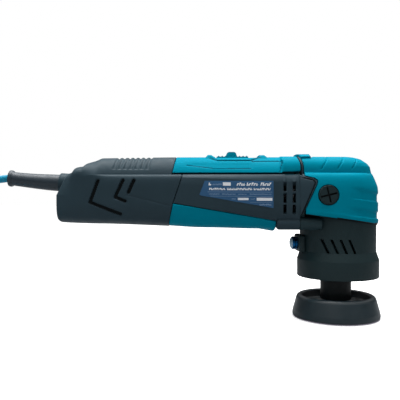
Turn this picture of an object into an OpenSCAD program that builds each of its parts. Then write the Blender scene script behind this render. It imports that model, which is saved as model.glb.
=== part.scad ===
// Compact dual action polisher: a rear handle, a motor body and a right-angle head that drives
// a round backing plate on an eccentric bearing, with its mains lead coiled behind it.
// Units are millimetres. +X points to the front of the head and +Z up.
// The origin is the main spindle's axis where it meets the plane of the plate's working face.

/* [Backing plate] */
// Outer diameter of the backing plate
plate_d = 75; // [72:0.5:76]
// Height of the plate's rubber body above its working face
plate_h = 18; // [16:0.5:19]
// Distance between the main spindle's axis and the plate's own axis
throw = 1.5; // [0.5:0.25:1.5]

/* [Head] */
// Outer diameter of the bell's lower skirt
skirt_d = 69.6; // [68:0.2:70]
// Outer diameter of the upper bell
bell_d = 64.7; // [64:0.1:65]
// Height of the open lower edge of the bell
bell_z = 35.3; // [34:0.1:37]
// Distance from the spindle's axis to the front of the head cover
head_front = 33.8; // [33.4:0.1:35]

/* [Body] */
// Height of the motor shaft's axis above the working face
motor_z = 106; // [106:1:106]
// Half width of the motor body
body_a = 30.5; // [30:0.25:32]
// Wall of the moulded shells
wall = 2.4; // [2.2:0.1:2.6]

/* [Gears] */
// Teeth of the bevel pinion on the motor shaft
pinion_teeth = 11; // [11:1:11]
// Teeth of the bevel gear on the spindle
gear_teeth = 41; // [41:1:41]
// Module at the outer end of the teeth
gear_module = 1; // [1:0.05:1]

/* [Lead] */
// Diameter of the mains lead
cord_d = 6.5; // [6:0.1:6.5]
// Sides of the lead's tube
cord_sides = 10; // [8:1:12]

/* [Hidden] */

$fn = 64;
teal = [0.01, 0.55, 0.66];
black = [0.19, 0.22, 0.24];
steel = [0.72, 0.73, 0.75];
copper = [0.78, 0.45, 0.22];
dark = [0.12, 0.13, 0.15];
gap = 0.3;                    // seam and clearance between neighbouring pieces

// Casing sections: x, half width, bottom, crease height, spine half width, top
seam_x = -38;                 // front end of the motor body, where the head begins
crease = 124;                 // height of the ledge between the sides and the raised spine
casing = [
    [-243, 15, 84.5, 117, 14, 125],
    [-236, 20, 82, 118.5, 19, 125.8],
    [-228, 23.5, 81.6, 120.5, 22.5, 129.3],
    [-218, 26, 81.3, 122.5, 25, 131],
    [-205, body_a - 2.5, 81, crease, 22, 138],
    [-180, body_a - 1, 80.4, crease, 21, 138.4],
    [-142, body_a, 79.5, crease, 22, 138.8],
    [-100, body_a, 78.6, crease, 23, 138.9],
    [-57, body_a, 77.7, crease, 23, 138.9],
    [seam_x, body_a + 0.5, 77, crease, 23, 138.9]
];
square_n = 3;                 // exponent of the casing's rounded-square section

// Points of one half of a casing section from bottom centre to top centre, set in by o
function half_section(s, o) = let (
        a = s[1] - o,
        low = s[2] + o,
        ledge = s[3] - o,
        c = s[4] - o,
        top = s[5] - o,
        mid = (low + ledge) / 2,
        p = 2 / square_n)
    concat(
        [for (t = [0:15:75]) [a * pow(sin(t), p), mid - (mid - low) * pow(cos(t), p)]],
        [for (t = [0:22.5:67.5]) [c + (a - c) * pow(cos(t), p), mid + (ledge - mid) * pow(sin(t), p)]],
        [for (t = [0:22.5:90]) [c * pow(cos(t), p), ledge + (top - ledge) * pow(sin(t), p)]]);

// A whole section as a closed ring of 3D points
function ring(s, o) = let (h = half_section(s, o), n = len(h))
    concat(
        [for (q = h) [s[0], q[0], q[1]]],
        [for (i = [n - 2:-1:1]) [s[0], -h[i][0], h[i][1]]]);

// A closed skin over rings that all have the same number of points.
// With poles, two points, its ends are fans around them, and otherwise flat faces.
module skin(rings, poles = []) {
    n = len(rings[0]);
    count = len(rings);
    points = [for (r = rings) each r];
    sides = [for (k = [0:count - 2], i = [0:n - 1]) let (
            a = k * n + i,
            b = k * n + (i + 1) % n)
        each [[a, b + n, b], [a, a + n, b + n]]];
    end = (count - 1) * n;
    flat = [[for (i = [0:n - 1]) i], [for (i = [n - 1:-1:0]) end + i]];
    fans = [for (i = [0:n - 1]) let (j = (i + 1) % n)
        each [[count * n, i, j], [count * n + 1, end + j, end + i]]];
    polyhedron(concat(points, poles), concat(sides, len(poles) == 2 ? fans : flat), convexity = 6);
}

// The casing's outer form, set in by o, with its ends moved out by e
module casing_form(o = 0, e = 0) {
    stations = [for (i = [0:len(casing) - 1]) let (s = casing[i])
        i == 0 ? [s[0] + o - e, s[1], s[2], s[3], s[4], s[5]] :
        i == len(casing) - 1 ? [s[0] + e, s[1], s[2], s[3], s[4], s[5]] : s];
    skin([for (s = stations) ring(s, o)]);
}

// A prism along Y over an outline of [x, z] points, from y0 to y1
module side_prism(outline, y0 = -60, y1 = 60) {
    translate([0, y1, 0])
        rotate([90, 0, 0])
            linear_extrude(height = y1 - y0)
                polygon(outline);
}

// A cylinder along X from x0 to x1 on the axis (y, z)
module rod_x(x0, x1, r, y = 0, z = motor_z) {
    translate([x0, y, z])
        rotate([0, 90, 0])
            cylinder(r = r, h = x1 - x0);
}

// A tube along X
module tube_x(x0, x1, r, bore, y = 0, z = motor_z) {
    difference() {
        rod_x(x0, x1, r, y, z);
        rod_x(x0 - 1, x1 + 1, bore, y, z);
    }
}

// A cylinder along Y from y0 to y1 on the axis (x, z)
module rod_y(x, z, y0, y1, r) {
    translate([x, y0, z])
        rotate([-90, 0, 0])
            cylinder(r = r, h = y1 - y0);
}

// A cylinder along Z from z0 to z1
module rod_z(z0, z1, r, x = 0, y = 0) {
    translate([x, y, z0])
        cylinder(r = r, h = z1 - z0);
}

// A tube along Z
module tube_z(z0, z1, r, bore, x = 0, y = 0) {
    difference() {
        rod_z(z0, z1, r, x, y);
        rod_z(z0 - 1, z1 + 1, bore, x, y);
    }
}

// A block between two corners
module block(low, high) {
    translate(low)
        cube(high - low);
}

// A wedge about the X axis of the motor, open from angle a0 to a1, measured from straight down
module wedge_x(x0, x1, a0, a1) {
    reach = 60;
    middle = (a0 + a1) / 2;
    translate([x0, 0, motor_z])
        rotate([0, 90, 0])
            linear_extrude(height = x1 - x0)
                polygon([[0, 0],
                    [reach * cos(a0), reach * sin(a0)],
                    [reach * cos(middle), reach * sin(middle)],
                    [reach * cos(a1), reach * sin(a1)]]);
}

/* Seams between the moulded shells, as outlines of [x, z] points */
rear_seam = [[-147.8, 70], [-146.7, 81.4], [-142.6, 99.8], [-135.5, 120.9], [-135.5, crease],
    [-143.6, crease], [-141.9, 137.4], [-141.8, 150]];
rear_zone = concat([[-260, 150], [-260, 70]], rear_seam);
body_zone = concat([for (i = [0:4]) rear_seam[i] + [gap, 0]],
    [[seam_x - gap / 2, crease], [seam_x - gap / 2, 70]]);
panel_zone = [[-146.3, 70], [-146.3, 81], [-142, 98.5], [-57.3, 84.3], [-57.3, 70]];
panel_recess = [[-152, 70], [-152, 100.7], [-142, 98.8], [-57, 84.55], [-57, 70]];
label_zone = [[-116.6, 117.2], [-60.4, 117.2], [-60.4, 95.2], [-121.2, 105.3]];
cover_zone = [[-143, crease], [-141.4, 137.4], [-141.3, 150], [seam_x - gap / 2, 150],
    [seam_x - gap / 2, crease]];
panel_wall = 2.1;
housing_wall = 4.6;
label_wall = 0.5;

/* Speed control: a thumbwheel in the top of the tail */
dial_x = -222;
dial_r = 6.2;
dial_z = 124.6;

/* Rear handle: two moulded halves, screwed together from the left */
shell_screws = [[-232, 93], [-190, 88], [-158, 88], [-205, 127]];
boss_r = 4;
screw_r = 1.6;
relief_tilt = 5.3;            // the boot rises towards its tip by this angle
relief_x = -242.5;
relief_z = 116.4;

// Places children at the strain relief's root, with +Z along the boot to its tip
module at_relief(along = 0) {
    translate([relief_x, 0, relief_z])
        rotate([0, -90 + relief_tilt, 0])
            translate([0, 0, along])
                children();
}

module rear_halves() {
    difference() {
        union() {
            difference() {
                intersection() {
                    casing_form();
                    side_prism(rear_zone);
                }
                casing_form(wall, 1 - wall);
            }
            intersection() {
                for (p = shell_screws)
                    rod_y(p[0], p[1], -28, 28, boss_r);
                casing_form(0.6);
            }
            // Collar that holds the strain relief's flange
            intersection() {
                at_relief(-9)
                    cylinder(r = 10, h = 9);
                casing_form(0.4);
            }
        }
        at_relief(-12)
            cylinder(r = 7.1, h = 20);
        at_relief(-6)
            cylinder(r = 8.6, h = 3);
        block([dial_x - 6.6, -2.5, dial_z], [dial_x + 6.6, 2.5, 140]);
        for (p = shell_screws) {
            rod_y(p[0], p[1], -16, 30, screw_r + 0.15);
            rod_y(p[0], p[1], 17, 40, 3.4);
        }
    }
}

module rear_shell_left() {
    color(black)
        intersection() {
            rear_halves();
            block([-300, 0.05, 60], [-100, 60, 160]);
        }
}

module rear_shell_right() {
    color(black)
        intersection() {
            rear_halves();
            block([-300, -60, 60], [-100, -0.05, 160]);
        }
}

module rear_shell_screws() {
    color(steel)
        for (p = shell_screws) {
            rod_y(p[0], p[1], -14, 17.5, screw_r);
            rod_y(p[0], p[1], 17, 19, 3);
        }
}

/* Motor body */
tube_r = 26;                  // outside of the motor's inner tube
tube_bore = 24;
tube_x0 = -150;
tube_x1 = -60;
boss_y = 24;                  // head screws stand this far to each side
boss_low = 82;
boss_high = 117;
boss_big = 5.2;
vent_x = [-51, -43.4];

// Places of the four head screws as [y, z]
head_screws = [[boss_y, boss_low], [-boss_y, boss_low], [22, boss_high], [-22, boss_high]];

module brush_windows() {
    for (side = [-1, 1])
        translate([-130, side * 22, motor_z])
            cube([9.4, 24, 8.4], center = true);
}

module motor_housing() {
    color(black)
        difference() {
            union() {
                difference() {
                    intersection() {
                        casing_form();
                        side_prism(body_zone);
                    }
                    // Hollow between the tube and the walls, and the fan chamber
                    intersection() {
                        casing_form(housing_wall, 2);
                        block([-200, -60, 60], [-42, 60, crease - wall]);
                    }
                    // Recess for the lower panel and for the label
                    difference() {
                        side_prism(panel_recess);
                        casing_form(panel_wall + 0.05, 2);
                    }
                    difference() {
                        side_prism(label_zone, -60, 0);
                        casing_form(label_wall + 0.02, 2);
                    }
                }
                intersection() {
                    rod_x(tube_x0, tube_x1, tube_r);
                    casing_form(wall + gap, 2);
                }
                for (p = [head_screws[0], head_screws[1]])
                    rod_x(-55, seam_x - gap / 2, boss_big, p[0], p[1]);
                for (p = [head_screws[2], head_screws[3]])
                    intersection() {
                        rod_x(-55, seam_x - gap / 2, 4, p[0], p[1]);
                        casing_form(0.6);
                    }
                // Side tongues, let into the head cover
                intersection() {
                    union() {
                        head_form();
                        casing_form(0, 1);
                    }
                    for (y = [-60, tongue_y])
                        side_prism(tongue, y, y + 60 - tongue_y);
                }
            }
            rod_x(-141, tube_x1 + 1, tube_bore);
            // Rear bearing seat, open towards the motor, with air openings around it
            rod_x(-149, -140, 11);
            rod_x(-160, -140, 8);
            for (a = [45:90:315])
                translate([-155, 0, motor_z])
                    rotate([a, 0, 0])
                        translate([0, -5, 14])
                            cube([15, 10, 7]);
            // Fan chamber and the way through to the head
            rod_x(tube_x1, -41.9, tube_bore);
            rod_x(-43, seam_x + 1, 17);
            brush_windows();
            for (p = head_screws)
                rod_x(-53, seam_x + 1, screw_r + 0.1, p[0], p[1]);
            // Air outlets, two columns of three on each side
            for (x = vent_x, row = [0:2])
                block([x - 1.4, -40, 90.1 + 9.3 * row], [x + 1.4, 40, 97.9 + 9.3 * row]);
        }
}

module lower_panel() {
    color(teal)
        intersection() {
            difference() {
                casing_form();
                casing_form(panel_wall, 2);
            }
            side_prism(panel_zone);
        }
}

module label_plate() {
    color([0.17, 0.27, 0.37])
        intersection() {
            difference() {
                casing_form();
                casing_form(label_wall, 2);
            }
            side_prism([for (p = label_zone)
                p + [p[0] < -100 ? 0.1 : -0.1, p[1] > 110 ? -0.1 : 0.1]], -60, 0);
        }
}

/* Top cover with the switch slider's recess */
recess_x0 = -107;
recess_x1 = -70;
recess_z = 137.2;             // floor of the recess
hump_x0 = -115;
hump_x1 = -65;
hump_top = 141;

module top_cover() {
    color(teal)
        difference() {
            union() {
                difference() {
                    intersection() {
                        casing_form();
                        side_prism(cover_zone);
                    }
                    casing_form(2.2, 2);
                }
                // Raised rim around the slider
                intersection() {
                    rod_x(hump_x0 - 1, hump_x1 + 1, 40, 0, hump_top - 40);
                    side_prism([[hump_x0, 137], [hump_x0, 138], [hump_x0 + 4, 141], [hump_x0 + 11, 141],
                        [recess_x0 + 6, 138.6], [recess_x1 - 9, 138.6], [recess_x1 - 4, 140.4],
                        [hump_x1 - 3, 140.4], [hump_x1, 138], [hump_x1, 137]], -14, 14);
                }
                // Floor of the recess, inside the spine
                block([recess_x0 - 2, -11, 135.4], [recess_x1 + 2, 11, 137.5]);
            }
            // Recess and the slot for the slider's stem
            block([recess_x0, -9.4, recess_z], [recess_x1, 9.4, 150]);
            block([-101, -3.2, 130], [-84, 3.2, 150]);
        }
}

/* Slider, rod and switch */
slide_z = 137.5;
rod_z0 = 132.6;
rod_z1 = 134.9;

module slider_knob() {
    color(teal) {
        difference() {
            union() {
                block([-106, -9, slide_z], [-79, 9, slide_z + 1.4]);
                for (i = [0:8])
                    side_prism([[-105.6 + 3 * i, slide_z + 1], [-104.4 + 3 * i, slide_z + 2.3],
                        [-103.2 + 3 * i, slide_z + 1]], -8.4, 8.4);
                side_prism([[-98.3, slide_z + 1], [-97, 142.2], [-95.6, 143], [-91, 143],
                    [-89.6, 142.2], [-88.3, slide_z + 1]], -7.6, 7.6);
                // Stem that clips over the rod
                block([-98, -2.8, rod_z1 - 1], [-95, 2.8, slide_z + 1]);
            }
            block([-97.6, -1.5, rod_z1 - 2], [-95.4, 1.5, rod_z1 + 1.2]);
        }
    }
}

module switch_rod() {
    color(dark) {
        block([-190, -3, rod_z0], [-92, 3, rod_z1 - 1]);
        block([-97.5, -1.4, rod_z1 - 1.1], [-95.5, 1.4, rod_z1 + 1.1]);
        block([-188, -2, 126], [-185, 2, rod_z0 + 0.5]);
    }
}

module switch_body() {
    color(dark)
        difference() {
            block([-200, -8, 110], [-172, 8, 131.6]);
            // Groove in which the rod's finger works the contacts
            block([-191, -2.6, 125], [-173.5, 2.6, 140]);
        }
}

/* Speed control */
module speed_dial() {
    color(dark)
        difference() {
            rod_y(dial_x, dial_z, -2, 2, dial_r);
            for (a = [0:18:342])
                translate([dial_x, 0, dial_z])
                    rotate([0, a, 0])
                        translate([-0.4, -3, dial_r - 0.5])
                            cube([0.8, 6, 2]);
            rod_y(dial_x, dial_z, -3, 3, 1.52);
        }
}

module speed_board() {
    color([0.1, 0.35, 0.2]) {
        block([-214.5, -8, 108], [-213, 8, 124]);
        block([-226, 2.3, 121], [-214, 7, 123.9]);
        block([-226, 2.3, 121], [-218, 7, 126.2]);
        rod_y(dial_x, dial_z, -1.8, 2.5, 1.45);
    }
}

module suppression_capacitor() {
    color([0.75, 0.62, 0.2])
        block([-226, -6, 90], [-208, 6, 104]);
}

/* Head */
head_levels = [
    [78, head_front], [90, head_front], [100.5, head_front], [109, head_front],
    [112.8, head_front - 0.4], [116, 32.1], [118.4, 31.2], [121, 30.1], [123, 29.3], [123.9, 28.9],
    [124.1, 28.8], [125.3, 28.3], [129.9, 27.3], [132.7, 25], [136.4, 19.6], [138, 14.6], [138.7, 9.8]
];

// Half width of the casing's front section at the height z
function width_at(z) = let (
        s = casing[len(casing) - 1],
        mid = (s[2] + s[3]) / 2,
        n = square_n)
    z < mid ? s[1] * pow(1 - pow((mid - z) / (mid - s[2]), n), 1 / n) :
    z < s[3] ? s[4] + (s[1] - s[4]) * pow(1 - pow((z - mid) / (s[3] - mid), n), 1 / n) :
    s[4] * pow(1 - pow((z - s[3]) / (s[5] - s[3]), n), 1 / n);

// The lower half of the front section has straight sides where the head covers it
function head_width(z) = z < 100.5 ? width_at(100.5) : width_at(z);

// Plan outline of the head at one level, from the rear right corner around the front
function head_outline(level) = let (
        z = level[0],
        front = level[1],
        w = head_width(z),
        mid_w = w * 1.1,
        side = [for (i = [0:3]) let (x = seam_x + gap / 2 + i * (-seam_x - gap / 2) / 4)
            [x, w + (mid_w - w) * (1 - pow(x / seam_x, 2))]],
        nose = [for (t = [0:11.25:90]) [front * sin(t), mid_w * cos(t)]],
        half = concat(side, nose),
        n = len(half))
    concat(
        [for (q = half) [q[0], q[1], z]],
        [for (i = [n - 2:-1:0]) [half[i][0], -half[i][1], z]]);

module head_form() {
    skin([for (i = [len(head_levels) - 1:-1:0]) head_outline(head_levels[i])]);
}

plug_x = -15.9;
plug_z = 105.6;
head_edge = [[-45, 91.4], [40, 80.1]];    // sloping lower edge of the head cover
tongue_y = 29.8;              // inner face of the motor body's side tongues
tongue = [[-39, 121.5], [-36.6, 121.3], [-27.5, 119.2], [-24.9, 117], [-24.9, 115],
    [-36.6, 89.8], [-39, 89]];
tongue_relief = [[-39, 121.8], [-36.5, 121.6], [-27.3, 119.5], [-24.6, 117.1], [-24.6, 114.9],
    [-36.3, 89.5], [-36.3, 80], [-39, 80]];

module head_cover() {
    color(teal)
        difference() {
            intersection() {
                union() {
                    head_form();
                    // Raised lug over the seam
                    block([-36.5, -6, 136], [-25.8, 6, 141.7]);
                }
                side_prism([head_edge[0], [-45, 160], [45, 160], head_edge[1]]);
            }
            // Hollow for the gear housing
            rod_z(70, 88.3, bell_d / 2 + 0.1);
            rod_z(88, 113, 30.4);
            rod_z(112, 117, 28.5);
            block([-60, -28.2, 70], [-1, 28.2, 117]);
            rod_z(100, 121.5, 26.7);
            block([-60, -26.7, 100], [-1, 26.7, 121.5]);
            rod_z(100, 134, 20);
            block([-60, -20, 100], [-1, 20, 134]);
            rod_y(plug_x, plug_z, -60, 60, 8.6);
            // Relief for the motor body's side tongues
            for (y = [-60, tongue_y - gap])
                side_prism(tongue_relief, y, y + 60 - tongue_y + gap);
        }
}

gear_case_r = 29;

module gear_housing() {
    color([0.55, 0.57, 0.6])
        difference() {
            union() {
                rotate_extrude($fn = 96)
                    polygon([[0, 76], [gear_case_r, 76], [gear_case_r, 112], [24, 117.5], [14.5, 119],
                        [14.5, 127.5], [0, 127.5]]);
                rod_x(seam_x, -10, 14);
                intersection() {
                    block([seam_x, -26.5, 79], [seam_x + 4, 26.5, 120]);
                    rod_x(-60, 0, 31);
                }
                for (p = head_screws)
                    rod_x(seam_x, p[1] < 100 ? -20.2 : -27, p[1] < 100 ? boss_big : 4, p[0], p[1]);
                rod_y(plug_x, plug_z, -31, 31, 7.8);
            }
            // Gear chamber, closed below by the bearing's shoulder
            rod_z(88, 112, 24.5);
            rod_z(111.9, 117.9, 12.5);
            rod_z(117.8, 125.05, 11);
            rod_z(78, 89, 12.4);
            rod_z(78, 86, 14);
            rod_z(70, 78.01, 21);
            // Pinion and bearing passage
            rod_x(-60, -33, 11);
            rod_x(-34, -8, 9);
            for (p = head_screws)
                rod_x(-60, 0, screw_r + 0.15, p[0], p[1]);
            for (p = [head_screws[0], head_screws[1]])
                rod_x(-23, -19.5, 3.1, p[0], p[1]);
            for (side = [-1, 1])
                rod_y(plug_x, plug_z, side > 0 ? 25.5 : -34, side > 0 ? 34 : -25.5, 5.1);
            for (a = [60:120:300])
                rotate([0, 0, a])
                    rod_z(70, 86, 1.35, 17.6);
            for (a = [30, 150, 270])
                rotate([0, 0, a])
                    rod_z(70, 87, 1.35, 26.2);
        }
}

module handle_plug(side) {
    color(dark)
        difference() {
            union() {
                rod_y(plug_x, plug_z, side > 0 ? 31.05 : -34, side > 0 ? 34 : -31.05, 7.9);
                rod_y(plug_x, plug_z, side > 0 ? 26 : -31.1, side > 0 ? 31.1 : -26, 5.05);
            }
            translate([plug_x, side * 34, plug_z])
                rotate([0, 20, 0])
                    cube([1.2, 2, 13], center = true);
        }
}

module handle_plug_left() {
    handle_plug(1);
}

module handle_plug_right() {
    handle_plug(-1);
}

module gearbox_screws() {
    color(steel)
        for (p = head_screws) {
            rod_x(-52, p[1] < 100 ? -22.9 : -26.9, screw_r, p[0], p[1]);
            rod_x(p[1] < 100 ? -23 : -27, p[1] < 100 ? -20.6 : -24.6, 3, p[0], p[1]);
        }
}

/* Bell around the counterweight */
lock_z = 64;
slot_count = 4;

module bell_skirt() {
    color(black)
        difference() {
            union() {
                rotate_extrude($fn = 96)
                    polygon([[skirt_d / 2 - wall, bell_z], [skirt_d / 2 - 0.5, bell_z],
                        [skirt_d / 2, bell_z + 0.5], [skirt_d / 2, 50.5], [bell_d / 2, 57.5],
                        [bell_d / 2, 88], [gear_case_r + 0.1, 88], [gear_case_r + 0.1, 76],
                        [21.5, 76], [21.5, 73.5], [bell_d / 2 - wall, 72],
                        [bell_d / 2 - wall, 57.5], [skirt_d / 2 - wall, 50.5]]);
                block([-37.4, -8, 56], [-29, 8, 72]);
            }
            rod_z(40, 72, bell_d / 2 - wall);
            rod_x(-40, -29, 5.7, 0, lock_z);
            for (side = [-1, 1], i = [0:slot_count - 1])
                side_prism([for (q = [[-20.9, 69], [-18.9, 69], [-13.9, 57.4], [-15.9, 57.4]])
                    q + [7 * i, 0]], side > 0 ? 15 : -60, side > 0 ? 60 : -15);
            for (a = [30, 150, 270])
                rotate([0, 0, a]) {
                    rod_z(70, 80, 1.7, 26.2);
                    rod_z(71, 74.4, 3.4, 26.2);
                }
            for (p = head_screws)
                if (p[1] < 100)
                    rod_x(-60, -20.1, boss_big + 0.1, p[0], p[1]);
        }
}

module skirt_screws() {
    color(steel)
        for (a = [30, 150, 270])
            rotate([0, 0, a]) {
                rod_z(74, 85, 1.3, 26.2);
                rod_z(72.4, 74.4, 2.9, 26.2);
            }
}

/* Motor */
core_x0 = -110;
core_x1 = -70;
stator_r = tube_bore - 0.05;
stator_bore = 14.6;
pole_half = 48;

module stator_core() {
    color(steel)
        difference() {
            rod_x(core_x0 - 2, core_x1 + 2, stator_r);
            rod_x(core_x0 - 3, core_x1 + 3, stator_bore);
            // Winding slots between the upper and the lower pole
            for (a = [0, 180])
                intersection() {
                    rod_x(core_x0 - 3, core_x1 + 3, 20);
                    wedge_x(core_x0 - 4, core_x1 + 4, a + pole_half, a + 180 - pole_half);
                }
        }
}

module field_coils() {
    color(copper)
        for (a = [0, 180]) {
            for (b = [a - 68, a + pole_half + 0.5])
                intersection() {
                    tube_x(core_x0 - 7, core_x1 + 7, 19.5, 15.2);
                    wedge_x(core_x0 - 8, core_x1 + 8, b, b + 19.5);
                }
            for (x = [core_x0 - 7, core_x1 + 2.2])
                intersection() {
                    tube_x(x, x + 4.8, 21.5, 15.2);
                    wedge_x(x - 1, x + 6, a - 68, a + 68);
                }
        }
}

module armature_shaft() {
    color(steel) {
        rod_x(-149.5, -31, 4);
        rod_x(-31.1, -21, 3);
    }
}

module armature_core() {
    color(steel)
        difference() {
            tube_x(core_x0, core_x1, 14, 4);
            for (a = [0:30:330])
                translate([core_x0 - 1, 0, motor_z])
                    rotate([a, 0, 0])
                        translate([0, -0.7, 10])
                            cube([core_x1 - core_x0 + 2, 1.4, 6]);
        }
}

module armature_windings() {
    color(copper) {
        tube_x(core_x0 - 8, core_x0, 12, 4);
        tube_x(core_x1, core_x1 + 8, 12, 4);
        for (a = [0:30:330])
            translate([core_x0, 0, motor_z])
                rotate([a, 0, 0])
                    translate([-0.5, -0.6, 10])
                        cube([core_x1 - core_x0 + 1, 1.2, 3.2]);
    }
}

module commutator() {
    color(copper)
        difference() {
            tube_x(-137, -123, 10, 4);
            for (a = [0:15:345])
                translate([-138, 0, motor_z])
                    rotate([a, 0, 0])
                        translate([0, -0.25, 8.6])
                            cube([16, 0.5, 3]);
        }
}

module cooling_fan() {
    color(dark) {
        tube_x(-57, -47, 6.5, 4);
        tube_x(-57, -55.4, 22, 6);
        for (a = [0:24:336])
            translate([-55.5, 0, motor_z])
                rotate([a, 0, 0])
                    translate([0, -0.7, 6])
                        cube([8.5, 1.4, 15.6]);
    }
}

module fan_baffle() {
    color(dark)
        tube_x(-61.5, -60, tube_bore - 0.05, 16);
}

module motor_bearings() {
    color(steel)
        for (x = [-149, -40])
            difference() {
                tube_x(x, x + 7, 11, 4.03);
                tube_x(x - 1, x + 0.4, 9.2, 6);
                tube_x(x + 6.6, x + 8, 9.2, 6);
            }
}

brush_z = 5;
module brush_holders() {
    color([0.8, 0.68, 0.35])
        for (side = [-1, 1])
            difference() {
                translate([-130, side * 18.3, motor_z])
                    cube([8.6, 14, 7.6], center = true);
                translate([-130, side * 17.3, motor_z])
                    cube([6.2, 14, brush_z + 0.2], center = true);
            }
}

module carbon_brushes() {
    color(dark)
        for (side = [-1, 1])
            translate([-130, side * 14.6, motor_z])
                cube([6, 8.8, brush_z], center = true);
}

module brush_springs() {
    color(steel)
        for (side = [-1, 1])
            difference() {
                rod_y(-130, motor_z, side > 0 ? 19 : -24.3, side > 0 ? 24.3 : -19, 2.2);
                rod_y(-130, motor_z, side > 0 ? 18 : -26, side > 0 ? 26 : -18, 1.5);
            }
}

/* Bevel gears: both pitch cones meet on the spindle's axis at the motor shaft's height */
cone_p = atan(pinion_teeth / gear_teeth);     // pitch angle of the pinion
cone_g = 90 - cone_p;
gear_r = gear_module * gear_teeth / 2;
pinion_r = gear_module * pinion_teeth / 2;
cone_out = gear_r / sin(cone_g);              // cone distance of the teeth's outer end
cone_in = cone_out - 6.4;
pressure = 20;
tooth_up_p = 1.15 * gear_module;
tooth_down_p = 0.95 * gear_module;
tooth_up_g = 0.62 * gear_module;
tooth_down_g = 1.45 * gear_module;
tooth_wide_p = 1.6 * gear_module;            // at the pitch circle, with backlash taken off
tooth_wide_g = 1.12 * gear_module;

function involute(a) = tan(a) * 180 / PI - a;

// Half angle of a pinion tooth at the height h above the pitch cone
function pinion_half(h) = let (
        r = pinion_r / cos(cone_p),
        base = r * cos(pressure),
        rho = max(r + h, base),
        half = tooth_wide_p / (2 * r) * 180 / PI + involute(pressure) - involute(acos(base / rho)))
    half / cos(cone_p);

pinion_back = 21;             // back of the teeth, from the spindle's axis
pinion_heights = [-tooth_down_p, -0.35, 0.05, 0.45, 0.8, tooth_up_p];

// Point of the pinion at cone distance d, height h above the pitch cone and turn t
function pinion_point(d, h, t) = let (a = cone_p + atan(h / cone_out))
    [-d * cos(a), d * sin(a) * sin(t), motor_z - d * sin(a) * cos(t)];

function pinion_ring(d) = [for (k = [0:pinion_teeth - 1]) let (
        middle = 360 / pinion_teeth * k,
        n = len(pinion_heights))
    each concat(
        [for (i = [0:n - 1]) let (h = pinion_heights[i])
            pinion_point(d, h, middle - pinion_half(h))],
        [for (i = [n - 1:-1:0]) let (h = pinion_heights[i])
            pinion_point(d, h, middle + pinion_half(h))])];

module drive_pinion() {
    color(steel)
        difference() {
            union() {
                skin([pinion_ring(cone_out), pinion_ring(cone_in)],
                    [[-pinion_back, 0, motor_z], [-cone_in * cos(cone_p), 0, motor_z]]);
                rod_x(-30.5, -pinion_back + 1, 4.3);
            }
            rod_x(-32, -20.9, 3);
        }
}

// Point of the gear at cone distance d, height h above the pitch cone and turn t
function gear_point(d, h, t) = let (a = cone_g + atan(h / cone_out))
    [d * sin(a) * cos(t), d * sin(a) * sin(t), motor_z - d * cos(a)];

function gear_half(h) = (tooth_wide_g / 2 - h * tan(pressure)) / gear_r * 180 / PI;

function gear_ring(d) = [for (k = [0:gear_teeth - 1]) let (
        middle = 180 + 360 / gear_teeth * (k + 0.5),
        low = -tooth_down_g,
        high = tooth_up_g)
    each [gear_point(d, low, middle - gear_half(low)), gear_point(d, high, middle - gear_half(high)),
        gear_point(d, high, middle + gear_half(high)), gear_point(d, low, middle + gear_half(low))]];

gear_floor = 95.5;            // underside of the gear's toothed rim

module bevel_gear() {
    outer = gear_ring(cone_out);
    inner = gear_ring(cone_in);
    n = len(outer);
    under = [for (q = outer) [q[0] * 0.985, q[1] * 0.985, gear_floor]];
    core = [for (q = inner) [q[0] * 0.985, q[1] * 0.985, gear_floor]];
    color(steel)
        difference() {
            union() {
                polyhedron(concat(outer, inner, core, under), convexity = 8,
                    faces = [for (k = [0:3], i = [0:n - 1]) let (
                            a = k * n + i,
                            b = k * n + (i + 1) % n,
                            c = (k + 1) % 4 * n + i,
                            e = (k + 1) % 4 * n + (i + 1) % n)
                        each [[a, e, b], [a, c, e]]]);
                rod_z(gear_floor - 2, gear_floor + 1, 19);
                rod_z(88.2, 99, 10);
            }
            rod_z(80, 110, 6);
        }
}

/* Spindle, eccentric hub and counterweight */
ring_z0 = 61;                 // locking ring around the hub
ring_z1 = 67.5;
ring_r = 25;
lock_slots = 12;

module main_spindle() {
    color(steel) {
        rod_z(66, 118, 6);
        rod_z(117.9, 124.8, 4);
        // Collar between the lower bearing and the hub
        rod_z(74, 77.8, 8);
    }
}

module bearing_ring(z, r, bore, h) {
    difference() {
        tube_z(z, z + h, r, bore);
        tube_z(z - 1, z + 0.4, r - 2, bore + 2);
        tube_z(z + h - 0.4, z + h + 1, r - 2, bore + 2);
    }
}

module spindle_bearing_upper() {
    color(steel)
        bearing_ring(118, 11, 4.03, 7);
}

module spindle_bearing_lower() {
    color(steel)
        bearing_ring(78, 14, 6.03, 8);
}

module bearing_retainer() {
    color(steel)
        difference() {
            tube_z(76.2, 78, 20.9, 9);
            for (a = [60:120:300])
                rotate([0, 0, a])
                    rod_z(70, 86, 1.55, 17.6);
        }
}

module retainer_screws() {
    color(steel)
        for (a = [60:120:300])
            rotate([0, 0, a]) {
                rod_z(76, 84, 1.3, 17.6);
                rod_z(74.4, 76.2, 2.6, 17.6);
            }
}

module eccentric_hub() {
    color([0.6, 0.62, 0.65])
        difference() {
            union() {
                rod_z(45.5, 62, 18.6);
                rod_z(ring_z0, ring_z1, ring_r);
                rod_z(67, 73.8, 10);
            }
            rod_z(65.9, 80, 6);
            rod_z(64, 67, 5);
            rod_z(40, 64.1, 14, -throw);
            rod_z(46.6, 47.8, 14.8, -throw);
            for (k = [0:lock_slots - 1])
                rotate([0, 0, 360 / lock_slots * k])
                    block([ring_r - 3, -2.6, ring_z0 + 0.4], [ring_r + 2, 2.6, ring_z1 - 0.4]);
            for (a = [-30, 30])
                rotate([0, 0, a])
                    rod_x(16.2, 30, 1.3, 0, 54);
        }
}

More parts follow.
